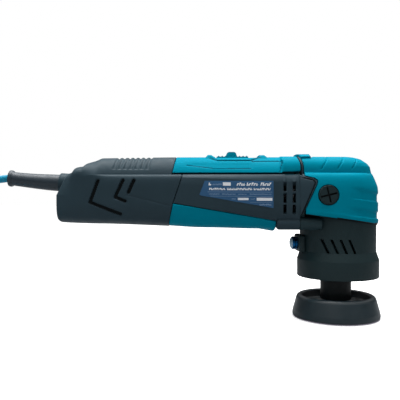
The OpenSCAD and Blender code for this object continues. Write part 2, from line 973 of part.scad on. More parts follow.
module counterweight() {
    color([0.5, 0.5, 0.52])
        difference() {
            intersection() {
                tube_z(49, 60, 27, 18.65);
                linear_extrude(height = 100)
                    polygon([[0, 0], [40, -60], [60, 0], [40, 60]]);
            }
            for (a = [-30, 30])
                rotate([0, 0, a]) {
                    rod_x(10, 40, 1.7, 0, 54);
                    rod_x(24.4, 40, 3, 0, 54);
                }
        }
}

module counterweight_screws() {
    color(steel)
        for (a = [-30, 30])
            rotate([0, 0, a]) {
                rod_x(17, 24.5, 1.25, 0, 54);
                rod_x(24.4, 26.4, 2.7, 0, 54);
            }
}

module eccentric_bearings() {
    color(steel)
        for (z = [48, 56.05])
            translate([-throw, 0, 0])
                bearing_ring(z, 14, 6.03, 8);
}

module bearing_circlip() {
    color(dark)
        translate([-throw, 0, 0])
            difference() {
                tube_z(46.7, 47.7, 14.7, 12.6);
                block([-20, -3, 40], [-5, 3, 50]);
            }
}

module output_spindle() {
    color(steel)
        translate([-throw, 0, 0]) {
            rod_z(47.9, 64, 6);
            rod_z(42, 47.95, 8);
            rod_z(24, 42.1, 4);
        }
}

/* Backing plate, centred on the output spindle */
neck_r = 13.2;
hook_h = 1;
plate_top_r = plate_d / 2 - 4;

module pad_hub() {
    color(dark)
        translate([-throw, 0, 0])
            difference() {
                union() {
                    rod_z(9, 41.5, neck_r);
                    rod_z(7, 10, 20);
                }
                rod_z(20, 50, 4);
                rod_z(41, 50, 8.3);
            }
}

module pad_body() {
    color(dark)
        translate([-throw, 0, 0])
            difference() {
                rotate_extrude($fn = 128)
                    polygon([[0, hook_h], [plate_d / 2 - 0.4, hook_h], [plate_d / 2, 1.9],
                        [plate_top_r + 0.25, plate_h - 1.6], [plate_top_r - 0.6, plate_h - 0.5],
                        [plate_top_r - 1.8, plate_h], [30, plate_h], [28.9, plate_h - 0.6],
                        [27.6, 12.6], [25.6, 11.6], [19.5, 12.2], [neck_r, 15.5], [0, 15.5]]);
                rod_z(7, 10, 20);
                rod_z(9, 30, neck_r);
            }
}

module pad_hook_face() {
    color([0.75, 0.76, 0.78])
        translate([-throw, 0, 0])
            rod_z(0, hook_h, plate_d / 2 - 0.4);
}

/* Spindle lock: a sprung button with a pin that reaches into the locking ring */
module lock_button() {
    color([0.04, 0.3, 0.48])
        difference() {
            rod_x(-40, -33.4, 5.35, 0, lock_z);
            rod_x(-35.6, -33, 1.95, 0, lock_z);
        }
}

module lock_pin() {
    color(steel)
        rod_x(-35.6, -ring_r - 0.7, 1.95, 0, lock_z);
}

module lock_spring() {
    color(steel)
        tube_x(-33.3, -29.5, 4, 3.2, 0, lock_z);
}

/* Strain relief, clamp and mains lead */
boot_len = 45.2;

module strain_relief() {
    color(dark)
        difference() {
            union() {
                at_relief()
                    cylinder(r1 = 6.95, r2 = 6.1, h = boot_len - 2);
                at_relief(boot_len - 3)
                    cylinder(r = 7, h = 3);
                at_relief(-8)
                    cylinder(r = 6.95, h = 8.1);
                at_relief(-5.9)
                    cylinder(r = 8.4, h = 2.8);
            }
            at_relief(-20)
                cylinder(r = cord_d / 2, h = 80);
            // Flex grooves
            for (i = [0:4])
                at_relief(12 + 5 * i)
                    difference() {
                        cylinder(r = 9, h = 1.4);
                        translate([0, 0, -1])
                            cylinder(r = 5.6, h = 4);
                    }
        }
}

module cord_inner() {
    color([0.03, 0.37, 0.47])
        at_relief(-24)
            cylinder(r = cord_d / 2, h = 24 + boot_len);
}

clamp_at = -12.5;             // distance of the clamp's middle from the boot's root

module cord_clamp() {
    color(dark)
        difference() {
            at_relief(clamp_at)
                cube([10.5, 22.6, 6], center = true);
            at_relief(-30)
                cylinder(r = cord_d / 2 + 0.02, h = 30);
            for (side = [-1, 1])
                at_relief(clamp_at)
                    translate([0, 8 * side, 0])
                        rotate([0, 90, 0])
                            cylinder(r = 1.55, h = 20, center = true);
        }
}

module clamp_screws() {
    color(steel)
        for (side = [-1, 1])
            at_relief(clamp_at)
                translate([0, 8 * side, 0])
                    rotate([0, 90, 0]) {
                        translate([0, 0, -6.9])
                            cylinder(r = 2.6, h = 1.64);
                        translate([0, 0, -5.3])
                            cylinder(r = 1.5, h = 10);
                    }
}

/* Mains lead */
coil_x = -378;                // middle of the coil
coil_y = 0;
coil_in = 23.5;               // inside and outside radius of the coil
coil_out = 47.6;
coil_h = 28.6;
lead_points = [[-287.6, 0, 120.6], [-296, 0, 119.5], [-308, 0, 118.5], [-322, -4, 116], [-333, -12, 110],
    [-340, -21, 101], [-341, -31, 89], [-339, -37, 76], [-338, -41, 61], [-341, -43, 47],
    [-350, -43, 34], [-363, -43.4, 26], [-378, -43.4, 24.2]];
tail_points = [[-378, -43.4, 4.2], [-388, -43.4, 4.2], [-400, -43, 4.2], [-412, -41, 5],
    [-424, -38, 8], [-436, -35, 12], [-446, -33, 14], [-455, -33, 14]];

// A point on a cubic B-spline through four control points, at t from 0 to 1
function curve(a, b, c, e, t) = (pow(1 - t, 3) * a + (3 * t * t * t - 6 * t * t + 4) * b
    + (-3 * t * t * t + 3 * t * t + 3 * t + 1) * c + t * t * t * e) / 6;

function route(points) = let (last = len(points) - 1)
    [for (i = [0:last - 1], t = [0:0.5:(i == last - 1 ? 1 : 0.5)]) curve(
        i == 0 ? 2 * points[0] - points[1] : points[i - 1], points[i], points[i + 1],
        i == last - 1 ? 2 * points[last] - points[last - 1] : points[i + 2], t)];

function unit(v) = v / norm(v);

// Rings of a tube along a path; each ring stands square to the path
function tube_rings(path, r) = let (n = len(path))
    [for (k = [0:n - 1]) let (
            ahead = unit(path[min(k + 1, n - 1)] - path[max(k - 1, 0)]),
            side = unit(cross([0, 0, 1], ahead)),
            up = cross(ahead, side))
        [for (i = [0:cord_sides - 1]) let (t = 360 / cord_sides * i)
            path[k] + r * (cos(t) * side + sin(t) * up)]];

module cord_lead() {
    color([0.03, 0.37, 0.47])
        skin(tube_rings(route(lead_points), cord_d / 2));
}

module cord_coil() {
    color([0.03, 0.37, 0.47])
        translate([coil_x, coil_y, 0])
            rotate_extrude($fn = 96)
                polygon([[coil_in + 2, 0], [coil_out - 2, 0], [coil_out, 2], [coil_out, coil_h - 2],
                    [coil_out - 2, coil_h], [coil_in + 2, coil_h], [coil_in, coil_h - 2], [coil_in, 2]]);
}

module cord_tail() {
    color([0.03, 0.37, 0.47])
        skin(tube_rings(route(tail_points), cord_d / 2));
}

/* Plug lying on its side */
plug_at = [-455, -33, 14];
pin_r = 2.4;
pin_root_r = 2;               // stepped root, moulded into the plug
pin_apart = 19;

module plug_body() {
    color(dark)
        difference() {
            translate(plug_at)
                intersection() {
                    rotate([0, -90, 0])
                        union() {
                            cylinder(r1 = 5.5, r2 = 8, h = 18);
                            translate([0, 0, 17.9])
                                cylinder(r1 = 8, r2 = 18, h = 8);
                            translate([0, 0, 25.8])
                                cylinder(r = 18, h = 17);
                        }
                    translate([-60, -14, -14])
                        cube([80, 28, 28]);
                }
            for (side = [-1, 1])
                rod_x(plug_at[0] - 50, plug_at[0] - 32, pin_root_r,
                    plug_at[1] + side * pin_apart / 2, plug_at[2]);
        }
}

module plug_pins() {
    color(steel)
        for (side = [-1, 1]) {
            rod_x(plug_at[0] - 61.8, plug_at[0] - 43.1, pin_r,
                plug_at[1] + side * pin_apart / 2, plug_at[2]);
            rod_x(plug_at[0] - 43.2, plug_at[0] - 32, pin_root_r,
                plug_at[1] + side * pin_apart / 2, plug_at[2]);
        }
}

rear_shell_left();
rear_shell_right();
motor_housing();
top_cover();
lower_panel();
label_plate();
gear_housing();
head_cover();
bell_skirt();
handle_plug_left();
handle_plug_right();
gearbox_screws();
rear_shell_screws();
skirt_screws();
stator_core();
field_coils();
armature_shaft();
armature_core();
armature_windings();
commutator();
cooling_fan();
fan_baffle();
motor_bearings();
brush_holders();
carbon_brushes();
brush_springs();
drive_pinion();
bevel_gear();
main_spindle();
spindle_bearing_upper();
spindle_bearing_lower();
bearing_retainer();
retainer_screws();
eccentric_hub();
counterweight();
counterweight_screws();
eccentric_bearings();
bearing_circlip();
output_spindle();
pad_hub();
pad_body();
pad_hook_face();
lock_button();
lock_pin();
lock_spring();
slider_knob();
switch_rod();
switch_body();
speed_dial();
speed_board();
suppression_capacitor();
cord_clamp();
clamp_screws();
strain_relief();
cord_inner();
cord_lead();
cord_coil();
cord_tail();
plug_body();
plug_pins();
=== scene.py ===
from math import cos, pi, radians, sin, sqrt, tan

import bmesh
import bpy
import numpy as np
from mathutils import Matrix, Vector


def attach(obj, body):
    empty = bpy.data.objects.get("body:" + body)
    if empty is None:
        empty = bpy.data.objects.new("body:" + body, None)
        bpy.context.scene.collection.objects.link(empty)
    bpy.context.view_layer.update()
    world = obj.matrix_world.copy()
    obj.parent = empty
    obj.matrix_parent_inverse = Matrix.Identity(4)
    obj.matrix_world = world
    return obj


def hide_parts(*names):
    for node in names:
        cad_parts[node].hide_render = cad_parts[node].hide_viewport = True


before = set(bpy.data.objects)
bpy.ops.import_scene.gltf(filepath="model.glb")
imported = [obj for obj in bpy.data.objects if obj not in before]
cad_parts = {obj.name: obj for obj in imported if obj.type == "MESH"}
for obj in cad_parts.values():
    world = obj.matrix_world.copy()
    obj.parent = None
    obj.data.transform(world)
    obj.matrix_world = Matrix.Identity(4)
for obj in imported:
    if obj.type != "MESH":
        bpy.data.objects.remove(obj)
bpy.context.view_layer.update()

MM = 0.001
scene = bpy.context.scene


# -------------------- camera
def add_camera():
    data = bpy.data.cameras.new("camera")
    data.lens = 45
    data.sensor_width = 36
    obj = bpy.data.objects.new("camera", data)
    scene.collection.objects.link(obj)
    obj.location = (-0.1205, -0.439, 0.1015)
    obj.rotation_euler = (pi / 2, 0, 0)
    scene.camera = obj


add_camera()


# -------------------- materials
def new_node(tree, kind, **inputs):
    """A shader node whose inputs (_ for a space) get the constants or links given."""
    node = tree.nodes.new("ShaderNode" + kind)
    for name, value in inputs.items():
        socket = node.inputs[name.replace("_", " ")]
        if isinstance(value, bpy.types.NodeSocket):
            tree.links.new(value, socket)
        else:
            socket.default_value = value
    return node


class Nodes:
    """A short way to write a material's node tree."""

    def __init__(self, name):
        self.material = bpy.data.materials.new(name)
        self.material.use_nodes = True
        self.tree = self.material.node_tree
        self.shader = self.tree.nodes["Principled BSDF"]
        self.place = new_node(self.tree, "TexCoord").outputs["Object"]

    def noise(self, scale, detail, rough=0.5, stretch=None):
        place = self.place
        if stretch:
            place = new_node(self.tree, "Mapping", Vector=place, Scale=stretch).outputs["Vector"]
        return new_node(self.tree, "TexNoise", Vector=place, Scale=scale, Detail=detail,
                        Roughness=rough).outputs["Fac"]

    def roughness(self, value, low, high):
        node = new_node(self.tree, "MapRange", Value=value, From_Min=0.3, From_Max=0.7,
                        To_Min=low, To_Max=high)
        self.tree.links.new(node.outputs["Result"], self.shader.inputs["Roughness"])

    def tone(self, value, colour, vary):
        """A base colour that varies a little to both sides."""
        node = new_node(self.tree, "ValToRGB", Fac=value)
        for stop, place, factor in zip(node.color_ramp.elements, (0.3, 0.7), (1 - vary, 1 + vary)):
            stop.position = place
            stop.color = (*(min(1, c * factor) for c in colour), 1)
        self.tree.links.new(node.outputs["Color"], self.shader.inputs["Base Color"])

    def bump(self, height, strength, distance):
        """Adds a bump on top of what the shader's normal already has."""
        normal = self.shader.inputs["Normal"]
        node = new_node(self.tree, "Bump", Height=height, Strength=strength, Distance=distance)
        if normal.is_linked:
            self.tree.links.new(normal.links[0].from_socket, node.inputs["Normal"])
        self.tree.links.new(node.outputs["Normal"], normal)


def plastic(name, colour, rough, vary, grain, bump, specular=0.4):
    """Moulded polymer: fine spark-eroded grain, uneven gloss and a faint change of tone."""
    n = Nodes(name)
    n.tone(n.noise(38, 4, 0.6), colour, vary)
    n.roughness(n.noise(160, 3), rough - 0.05, rough + 0.07)
    n.bump(n.noise(grain, 2), bump, 0.00012)
    n.bump(n.noise(55, 1), 0.05, 0.0006)
    n.shader.inputs["Specular IOR Level"].default_value = specular
    return n.material


def metal(name, colour, rough, vary=0.08, stretch=None, grain=900, bump=0.12):
    """Machined or cast metal: tool marks, uneven roughness and a little staining."""
    n = Nodes(name)
    n.tone(n.noise(90, 4, 0.6), colour, vary)
    n.roughness(n.noise(260, 3, 0.5, stretch), rough - 0.08, rough + 0.1)
    n.bump(n.noise(grain, 2, 0.5, stretch), bump, 0.00015)
    n.shader.inputs["Metallic"].default_value = 1.0
    return n.material


def linear(r, g, b):
    """A linear colour from sRGB bytes."""
    def one(c):
        c /= 255
        return c / 12.92 if c <= 0.04045 else ((c + 0.055) / 1.055) ** 2.4
    return (one(r), one(g), one(b))


BLACK = plastic("black_shell", (0.029, 0.053, 0.068), 0.47, 0.05, 2400, 0.3, 0.12)
BELL_BLACK = plastic("bell_black", (0.013, 0.03, 0.034), 0.45, 0.05, 2400, 0.3, 0.25)
# Painted shade: a near-black colour for faces in grooves, gaps and under edges, standing in for the shade
# there
PAINTED_SHADE_BLACK = plastic("painted_shade_black", (0.003, 0.006, 0.007), 0.6, 0.05, 1200, 0.2, 0.15)
# Painted shadow: a dark teal for the shadow band under the top cover's lower edge
PAINTED_SHADE_TEAL = plastic("painted_shade_teal", linear(5, 42, 51), 0.6, 0.03, 1200, 0.1, 0.05)
SATIN_CAP = plastic("satin_cap", linear(185, 215, 232), 0.3, 0.08, 900, 0.1, 0.5)
# Painted shade: a darker teal for the shade inside the top cover's fine grooves
PAINTED_LINE_SHADE = plastic("painted_line_shade", linear(0, 96, 116), 0.5, 0.03, 2600, 0.16, 0.04)
TEAL = plastic("teal_shell", linear(0, 136, 161), 0.45, 0.03, 2600, 0.16, 0.01)
MATERIALS = {
    "black_shell": BLACK,
    "teal_shell": TEAL,
    "label": plastic("label_film", linear(58, 98, 136), 0.4, 0.04, 900, 0.05, 0.15),
    "cast_aluminium": plastic("black_casting", (0.018, 0.042, 0.05), 0.5, 0.06, 1500, 0.4, 0.2),
    "plated_screws": metal("plated_screws", (0.42, 0.42, 0.43), 0.3),
    "steel": metal("steel", (0.55, 0.55, 0.56), 0.28, 0.06, (1, 1, 14)),
    "bearing_steel": metal("bearing_steel", (0.62, 0.62, 0.64), 0.18, 0.04),
    "gear_steel": metal("gear_steel", (0.36, 0.36, 0.38), 0.34, 0.1),
    "counterweight_iron": metal("counterweight_iron", (0.26, 0.26, 0.27), 0.5, 0.12, None, 700, 0.5),
    "lamination_steel": metal("lamination_steel", (0.3, 0.3, 0.32), 0.42, 0.1, (60, 1, 1), 300, 0.5),
    "copper_wire": metal("copper_wire", (0.62, 0.27, 0.12), 0.3, 0.15, (1, 22, 22), 200, 0.9),
    "copper_bars": metal("copper_bars", (0.72, 0.36, 0.2), 0.25, 0.1),
    "brass": metal("brass", (0.7, 0.5, 0.2), 0.28, 0.08),
    "carbon": plastic("carbon", (0.02, 0.02, 0.022), 0.6, 0.2, 1200, 0.5, 0.4),
    "grey_polymer": plastic("grey_polymer", (0.05, 0.055, 0.06), 0.5, 0.08, 1600, 0.2),
    "circuit_board": plastic("circuit_board", (0.03, 0.13, 0.06), 0.4, 0.2, 500, 0.1, 0.5),
    "film_capacitor": plastic("film_capacitor", (0.5, 0.34, 0.07), 0.35, 0.08, 400, 0.1, 0.5),
    # Painted shade: the hub's base colour is darkened well below the other black parts for the shadow it
    # sits in under the housing
    "pad_hub": plastic("pad_hub", (0.005, 0.009, 0.011), 0.45, 0.08, 1500, 0.3, 0.3),
    "pad_rubber": plastic("pad_rubber", (0.015, 0.03, 0.038), 0.33, 0.02, 1300, 0.05, 0.7),
    "hook_fastener": plastic("hook_fastener", (0.5, 0.46, 0.58), 0.85, 0.2, 1100, 1.0, 0.2),
    "anodised_blue": metal("anodised_blue", linear(16, 92, 150), 0.3, 0.08),
    "boot_rubber": plastic("boot_rubber", linear(38, 52, 62), 0.42, 0.06, 1800, 0.25, 0.5),
    "cord_jacket": plastic("cord_jacket", linear(0, 140, 175), 0.4, 0.06, 1500, 0.12, 0.3),
    "plug_rubber": plastic("plug_rubber", linear(30, 38, 44), 0.5, 0.06, 1800, 0.3, 0.4),
    "pin_metal": metal("pin_metal", (0.7, 0.68, 0.62), 0.22, 0.05),
}


# -------------------- mesh helpers
def mesh_of(name, verts, faces, merge=True):
    """A mesh in metres from millimetres, its faces turned outwards and its doubled points merged."""
    mesh = bpy.data.meshes.new(name)
    mesh.from_pydata((np.asarray(verts, float) * MM).tolist(), [], [tuple(map(int, f)) for f in faces])
    bm = bmesh.new()
    bm.from_mesh(mesh)
    if merge:
        bmesh.ops.remove_doubles(bm, verts=bm.verts, dist=2e-6)
    bmesh.ops.recalc_face_normals(bm, faces=bm.faces)
    bm.to_mesh(mesh)
    bm.free()
    return mesh


def placed(name, data):
    """A new object in the scene."""
    obj = bpy.data.objects.new(name, data)
    scene.collection.objects.link(obj)
    return obj


def make(name, verts, faces, material, body, stands_for, slot, sharp=40, merge=False):
    """A named piece from vertices in millimetres; it rides on a body and may replace CAD nodes."""
    obj = placed(name, mesh_of(name, verts, faces, merge))
    finish_piece(obj, material, body, stands_for, sharp)
    return obj


def finish_piece(obj, material, body, stands_for, sharp):
    """Gives a piece its material, its smooth faces and what the frame has to know of it."""
    obj.data.materials.clear()
    obj.data.materials.append(material)
    obj.data.shade_smooth()
    obj.data.set_sharp_from_angle(angle=radians(sharp))
    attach(obj, body)
    if stands_for:
        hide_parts(*stands_for)


def paint(obj, material, where):
    """Gives another material to the faces whose middle, in millimetres, passes a test."""
    polygons = obj.data.polygons
    obj.data.materials.append(material)
    centres = np.zeros(len(polygons) * 3)
    polygons.foreach_get("center", centres)
    index = np.zeros(len(polygons), np.int32)
    polygons.foreach_get("material_index", index)
    index[where(*(centres.reshape(-1, 3).T / MM))] = len(obj.data.materials) - 1
    polygons.foreach_set("material_index", index)


def solid(outer, inner, keep=None):
    """Vertices and faces of the closed wall between two grids of points, without the cells not kept."""
    n, m = outer.shape[:2]
    count = n * m
    verts = np.concatenate([outer.reshape(-1, 3), inner.reshape(-1, 3)])
    idx = np.arange(count).reshape(n, m)
    cells = np.ones((n - 1, m - 1), bool) if keep is None else keep
    a, b, c, d = idx[:-1, :-1], idx[1:, :-1], idx[1:, 1:], idx[:-1, 1:]
    padded = np.pad(cells, 1)
    middle = padded[1:-1, 1:-1]
    parts = [np.stack([a, b, c, d], -1)[cells], np.stack([a, d, c, b], -1)[cells] + count]
    for near, p, q in ((padded[1:-1, :-2], b, a), (padded[1:-1, 2:], d, c),
                       (padded[2:, 1:-1], c, b), (padded[:-2, 1:-1], a, d)):
        edge = middle & ~near
        parts.append(np.stack([p, q, q + count, p + count], -1)[edge])
    return verts, np.concatenate(parts)


def join(pieces):
    """One vertex and face list from several."""
    verts, faces, base = [], [], 0
    for v, f in pieces:
        verts.append(np.asarray(v, float))
        faces.extend([[i + base for i in face] for face in f])
        base += len(v)
    return np.concatenate(verts), faces


def lathe(profile, turns, axis=(0, 0), start=0.0, end=360.0):
    """A closed solid of revolution about Z from a closed [r, z] outline."""
    pts = np.asarray(profile, float)
    whole = end - start >= 360
    angles = np.radians(np.linspace(start, end, turns + 1))
    if whole:
        angles = angles[:-1]
    n, m = len(angles), len(pts)
    verts = [[axis[0] + r * cos(t), axis[1] + r * sin(t), z] for t in angles for r, z in pts]
    faces = []
    for i in range(n if whole else n - 1):
        for j in range(m):
            a, b = i * m + j, i * m + (j + 1) % m
            c, d = (i + 1) % n * m + (j + 1) % m, (i + 1) % n * m + j
            faces.append([a, b, c, d])
    if not whole:
        faces.append(list(range(m)))
        faces.append([(n - 1) * m + j for j in range(m - 1, -1, -1)])
    return np.array(verts), faces


def rod(r, z0, z1, turns=48, axis=(0, 0)):
    """A closed cylinder along Z."""
    return lathe([[0, z0], [r, z0], [r, z1], [0, z1]], turns, axis)


def turned(piece, matrix):
    """A piece moved and turned by a matrix."""
    v, f = piece
    m = np.array(matrix)
    return v @ m[:3, :3].T + m[:3, 3], f


def along_x(x, y, z):
    """Places a lathe's Z axis along +X at a point."""
    return Matrix.Translation((x, y, z)) @ Matrix.Rotation(pi / 2, 4, "Y")


def along_y(x, y, z, side):
    """Places a lathe's Z axis along Y at a point, pointing out on the side given."""
    return Matrix.Translation((x, y, z)) @ Matrix.Rotation(-pi / 2 * side, 4, "X")


def rounded(outline, radii, steps=5):
    """A closed 2D outline with its corners rounded by the radii given."""
    pts = [np.array(p, float) for p in outline]
    out = []
    for i, p in enumerate(pts):
        r = radii[i] if hasattr(radii, "__len__") else radii
        a, b = pts[i - 1] - p, pts[(i + 1) % len(pts)] - p
        la, lb = np.linalg.norm(a), np.linalg.norm(b)
        if r <= 0 or la < 1e-9 or lb < 1e-9:
            out.append(p)
            continue
        a, b = a / la, b / lb
        half = np.arccos(np.clip(a @ b, -1, 1)) / 2
        reach = min(r / tan(half), la * 0.49, lb * 0.49)
        for k in range(steps + 1):
            t = k / steps
            out.append((1 - t) ** 2 * (p + a * reach) + 2 * t * (1 - t) * p + t * t * (p + b * reach))
    return np.array(out)


def taken(bm):
    """Vertices and faces of a BMesh, which is freed."""
    bm.verts.index_update()
    piece = np.array([v.co for v in bm.verts]), [[v.index for v in f.verts] for f in bm.faces]
    bm.free()
    return piece


def block(low, high, r):
    """A box with bevelled edges."""
    bm = bmesh.new()
    bmesh.ops.create_cube(bm, size=1)
    low, high = Vector(low), Vector(high)
    for v in bm.verts:
        v.co = Vector([(low[i] + high[i]) / 2 + v.co[i] * (high[i] - low[i]) for i in range(3)])
    if r:
        bmesh.ops.bevel(bm, geom=bm.edges[:], offset=r, segments=3, affect="EDGES", profile=0.5)
    return taken(bm)


def prism(outline, y0, y1, r=0.0):
    """A prism along Y over an outline of [x, z] points, with its rims bevelled by r."""
    bm = bmesh.new()
    ends = [[bm.verts.new((x, y, z)) for x, z in outline] for y in (y0, y1)]
    bm.faces.new(ends[0])
    bm.faces.new(ends[1][::-1])
    n = len(outline)
    for i in range(n):
        bm.faces.new([ends[0][(i + 1) % n], ends[0][i], ends[1][i], ends[1][(i + 1) % n]])
    if r:
        rims = [e for e in bm.edges if abs(e.verts[0].co.y - e.verts[1].co.y) < 1e-6]
        bmesh.ops.bevel(bm, geom=rims, offset=r, segments=3, affect="EDGES", profile=0.5)
    return taken(bm)


def cut(piece, *cutters):
    """Cuts closed solids, all in millimetres, out of one closed solid."""
    obj = placed("solid", mesh_of("solid", *piece))
    tools = [placed("cutter", mesh_of("cutter", *cutter)) for cutter in cutters]
    for tool in tools:
        mod = obj.modifiers.new("cut", "BOOLEAN")
        mod.solver = "EXACT"
        mod.object = tool
    graph = bpy.context.evaluated_depsgraph_get()
    result = obj.evaluated_get(graph).to_mesh()
    verts = np.array([v.co for v in result.vertices]) / MM
    faces = [list(q.vertices) for q in result.polygons]
    for used in [obj] + tools:
        data = used.data
        bpy.data.objects.remove(used)
        bpy.data.meshes.remove(data)
    return verts, faces


def bevelled(node, body, slot, width):
    """A copy of a CAD node with its sharp edges softened by a width in millimetres."""
    angle = 35
    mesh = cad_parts[node].data.copy()
    bm = bmesh.new()
    bm.from_mesh(mesh)
    bmesh.ops.remove_doubles(bm, verts=bm.verts, dist=1e-6)
    bmesh.ops.dissolve_limit(bm, angle_limit=radians(2), verts=bm.verts, edges=bm.edges)
    edges = [e for e in bm.edges if e.is_manifold and e.calc_face_angle() > radians(angle)]
    bmesh.ops.bevel(bm, geom=edges, offset=width * MM, segments=2, affect="EDGES", profile=0.5,
                    clamp_overlap=True)
    bm.to_mesh(mesh)
    bm.free()
    obj = placed(node + "_v", mesh)
    finish_piece(obj, MATERIALS[slot], body, (node,), angle)
    return obj


def step_up(v):
    """0 below 0, 1 above 1, and a smooth step between them."""
    v = np.clip(v, 0, 1)
    return v * v * (3 - 2 * v)


# -------------------- mains cord
CORD_D = 6.5
COIL_X = -378
COIL_OUT = 43.4
COIL_PITCH = 6.7
LAYERS = 4
LAYER_TURNS = 2.35
CHANGE_TURNS = 0.2
STEPS_PER_TURN = 32
COIL_IN = COIL_OUT - COIL_PITCH * LAYER_TURNS
LOW_Z = 4.2
HIGH_Z = 24.2
LEAD_POINTS = [(-287.6, 0, 120.6), (-296, 0, 119.5), (-308, 0, 118.5), (-322, -4, 116), (-333, -12, 110),
               (-340, -21, 101), (-341, -31, 89), (-339, -37, 76), (-338, -41, 61), (-341, -43, 47),
               (-350, -43, 34), (-363, -43.4, 26), (-378, -43.4, 24.2)]
TAIL_POINTS = [(-378, -43.4, 4.2), (-388, -43.4, 4.2), (-400, -43, 4.2), (-412, -41, 5),
               (-424, -38, 8), (-436, -35, 12), (-446, -33, 14), (-455, -33, 14)]


def b_spline(points, steps):
    """Points on a cubic B-spline that starts and ends at the first and last control point."""
    p = np.array(points, float)
    p = np.vstack([2 * p[0] - p[1], p, 2 * p[-1] - p[-2]])
    out = []
    for i in range(len(p) - 3):
        for t in np.arange(steps) / steps:
            out.append(((1 - t) ** 3 * p[i] + (3 * t ** 3 - 6 * t * t + 4) * p[i + 1]
                        + (-3 * t ** 3 + 3 * t * t + 3 * t + 1) * p[i + 2] + t ** 3 * p[i + 3]) / 6)
    out.append(np.array(points[-1], float))
    return out


def coil_points():
    """Ten turns in four layers, wound inwards and outwards in turn, from the top layer down."""
    fall = (HIGH_Z - LOW_Z) / (LAYERS - 1)
    per_layer = int(LAYER_TURNS * STEPS_PER_TURN)
    out, turn = [], 0.0
    for layer in range(LAYERS):
        level = HIGH_Z - layer * fall
        r0, r1 = (COIL_IN, COIL_OUT) if layer % 2 else (COIL_OUT, COIL_IN)
        for f in np.arange(per_layer) / per_layer:
            out.append((turn + LAYER_TURNS * f, r0 + (r1 - r0) * f, level))
        turn += LAYER_TURNS
        if layer < LAYERS - 1:
            for f in np.arange(6) / 6:
                out.append((turn + CHANGE_TURNS * f, r1, level - step_up(f) * fall))
            turn += CHANGE_TURNS
    return [np.array([COIL_X + r * cos(-pi / 2 - 2 * pi * t), r * sin(-pi / 2 - 2 * pi * t), z])
            for t, r, z in out]


def make_cord():
    route = b_spline(LEAD_POINTS, 3)[:-1] + coil_points() + b_spline(TAIL_POINTS, 3)
    data = bpy.data.curves.new("mains_cord", "CURVE")
    data.dimensions = "3D"
    data.bevel_depth = CORD_D / 2 * MM
    data.bevel_resolution = 5
    data.use_fill_caps = True
    line = data.splines.new("POLY")
    line.points.add(len(route) - 1)
    for point, place in zip(line.points, route):
        point.co = (*(place * MM), 1)
    line.use_smooth = True
    data.materials.append(MATERIALS["cord_jacket"])
    cord = placed("mains_cord", data)
    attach(cord, "frame")
    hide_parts("cord_lead", "cord_coil", "cord_tail")

    # Tie band round the coil's turns
    r0, r1, z0, z1 = COIL_IN - 3.3, COIL_OUT + 3.3, 0.85, 27.5
    loop = rounded([[r0, z0], [r1, z0], [r1, z1], [r0, z1]], 2.8, 6)
    loop = np.concatenate([loop, loop[:1]])
    away = loop - loop[:-1].mean(0)
    away /= np.abs(away).max(1, keepdims=True)
    outer, inner = [], []
    for y, thick in ((-6, 0.5), (-5.6, 0.75), (5.6, 0.75), (6, 0.5)):
        grown = loop + thick * away
        outer.append([[COIL_X - r, y, max(z, 0.02)] for r, z in grown])
        inner.append([[COIL_X - r, y, z] for r, z in loop])
    tie = make("cord_tie", *solid(np.array(outer), np.array(inner)), MATERIALS["plug_rubber"], "frame",
               (), "plug_rubber", merge=True)
    bevelled("plug_body", "frame", "plug_rubber", 0.8)


make_cord()


# -------------------- casing surface
# x, half width, bottom, crease, spine half width, top
STATIONS = np.array([
    [-243.3, 15, 82.4, 117, 15, 125],
    [-236, 20, 81.9, 118.5, 20, 125.4],
    [-229, 23.3, 81.6, 120, 23.2, 129.3],
    [-219, 26, 81.3, 121.3, 26, 130.7],
    [-211, 27.3, 81.1, 122.2, 27.3, 135.3],
    [-206, 27.9, 81.05, 122.4, 27.6, 137.2],
    [-200, 28.4, 81, 122.6, 21.6, 138],
    [-180, 29.5, 80.4, 122.6, 21, 138.4],
    [-142, 30.5, 78.8, 122.6, 22, 138.8],
    [-100, 30.5, 78.2, 122.6, 23, 138.9],
    [-57, 30.5, 77.7, 122.6, 23, 138.9],
    [-41, 30.9, 77.1, 122.6, 23, 138.9],
    [-36, 31, 77, 124, 23, 138.9]])
TOP_LINE = np.array([[-243.3, 125], [-236.4, 125.3], [-229.1, 129.3], [-219, 130.6], [-217.5, 132.9],
                     [-208.9, 135.9], [-205.3, 137.9], [-180, 138.4], [-142, 138.8], [-38, 138.9]])
GRID_X = np.arange(-252, -10, 0.25)


def smooth(line, sigma):
    """Station values as a dense table along X, with the kinks between stations softened."""
    kernel = np.exp(-0.5 * (np.arange(-40, 41) * 0.25 / sigma) ** 2)
    raw = np.interp(GRID_X, line[:, 0], line[:, 1])
    return np.convolve(np.pad(raw, 40, mode="edge"), kernel / kernel.sum(), "valid")


COLUMNS = [smooth(STATIONS[:, [0, k]], 3.0) for k in range(1, 5)] + [smooth(TOP_LINE, 0.8)]
POWER = 2 / 3
BODY_X = -100.0  # the section here stands for the whole motor body
HEAD_X = -20.0  # and the one here for the head
SEAM_X = -142.0  # about where the rear handle meets the motor body
SEAM_GAP = 0.35
PANEL_X = -57.3  # front of the lower panel
FRONT_X = -38.15  # front of the motor body
COVER_Z = 124.5  # lower edge of the top cover
MIDDLE_Z = 104.0


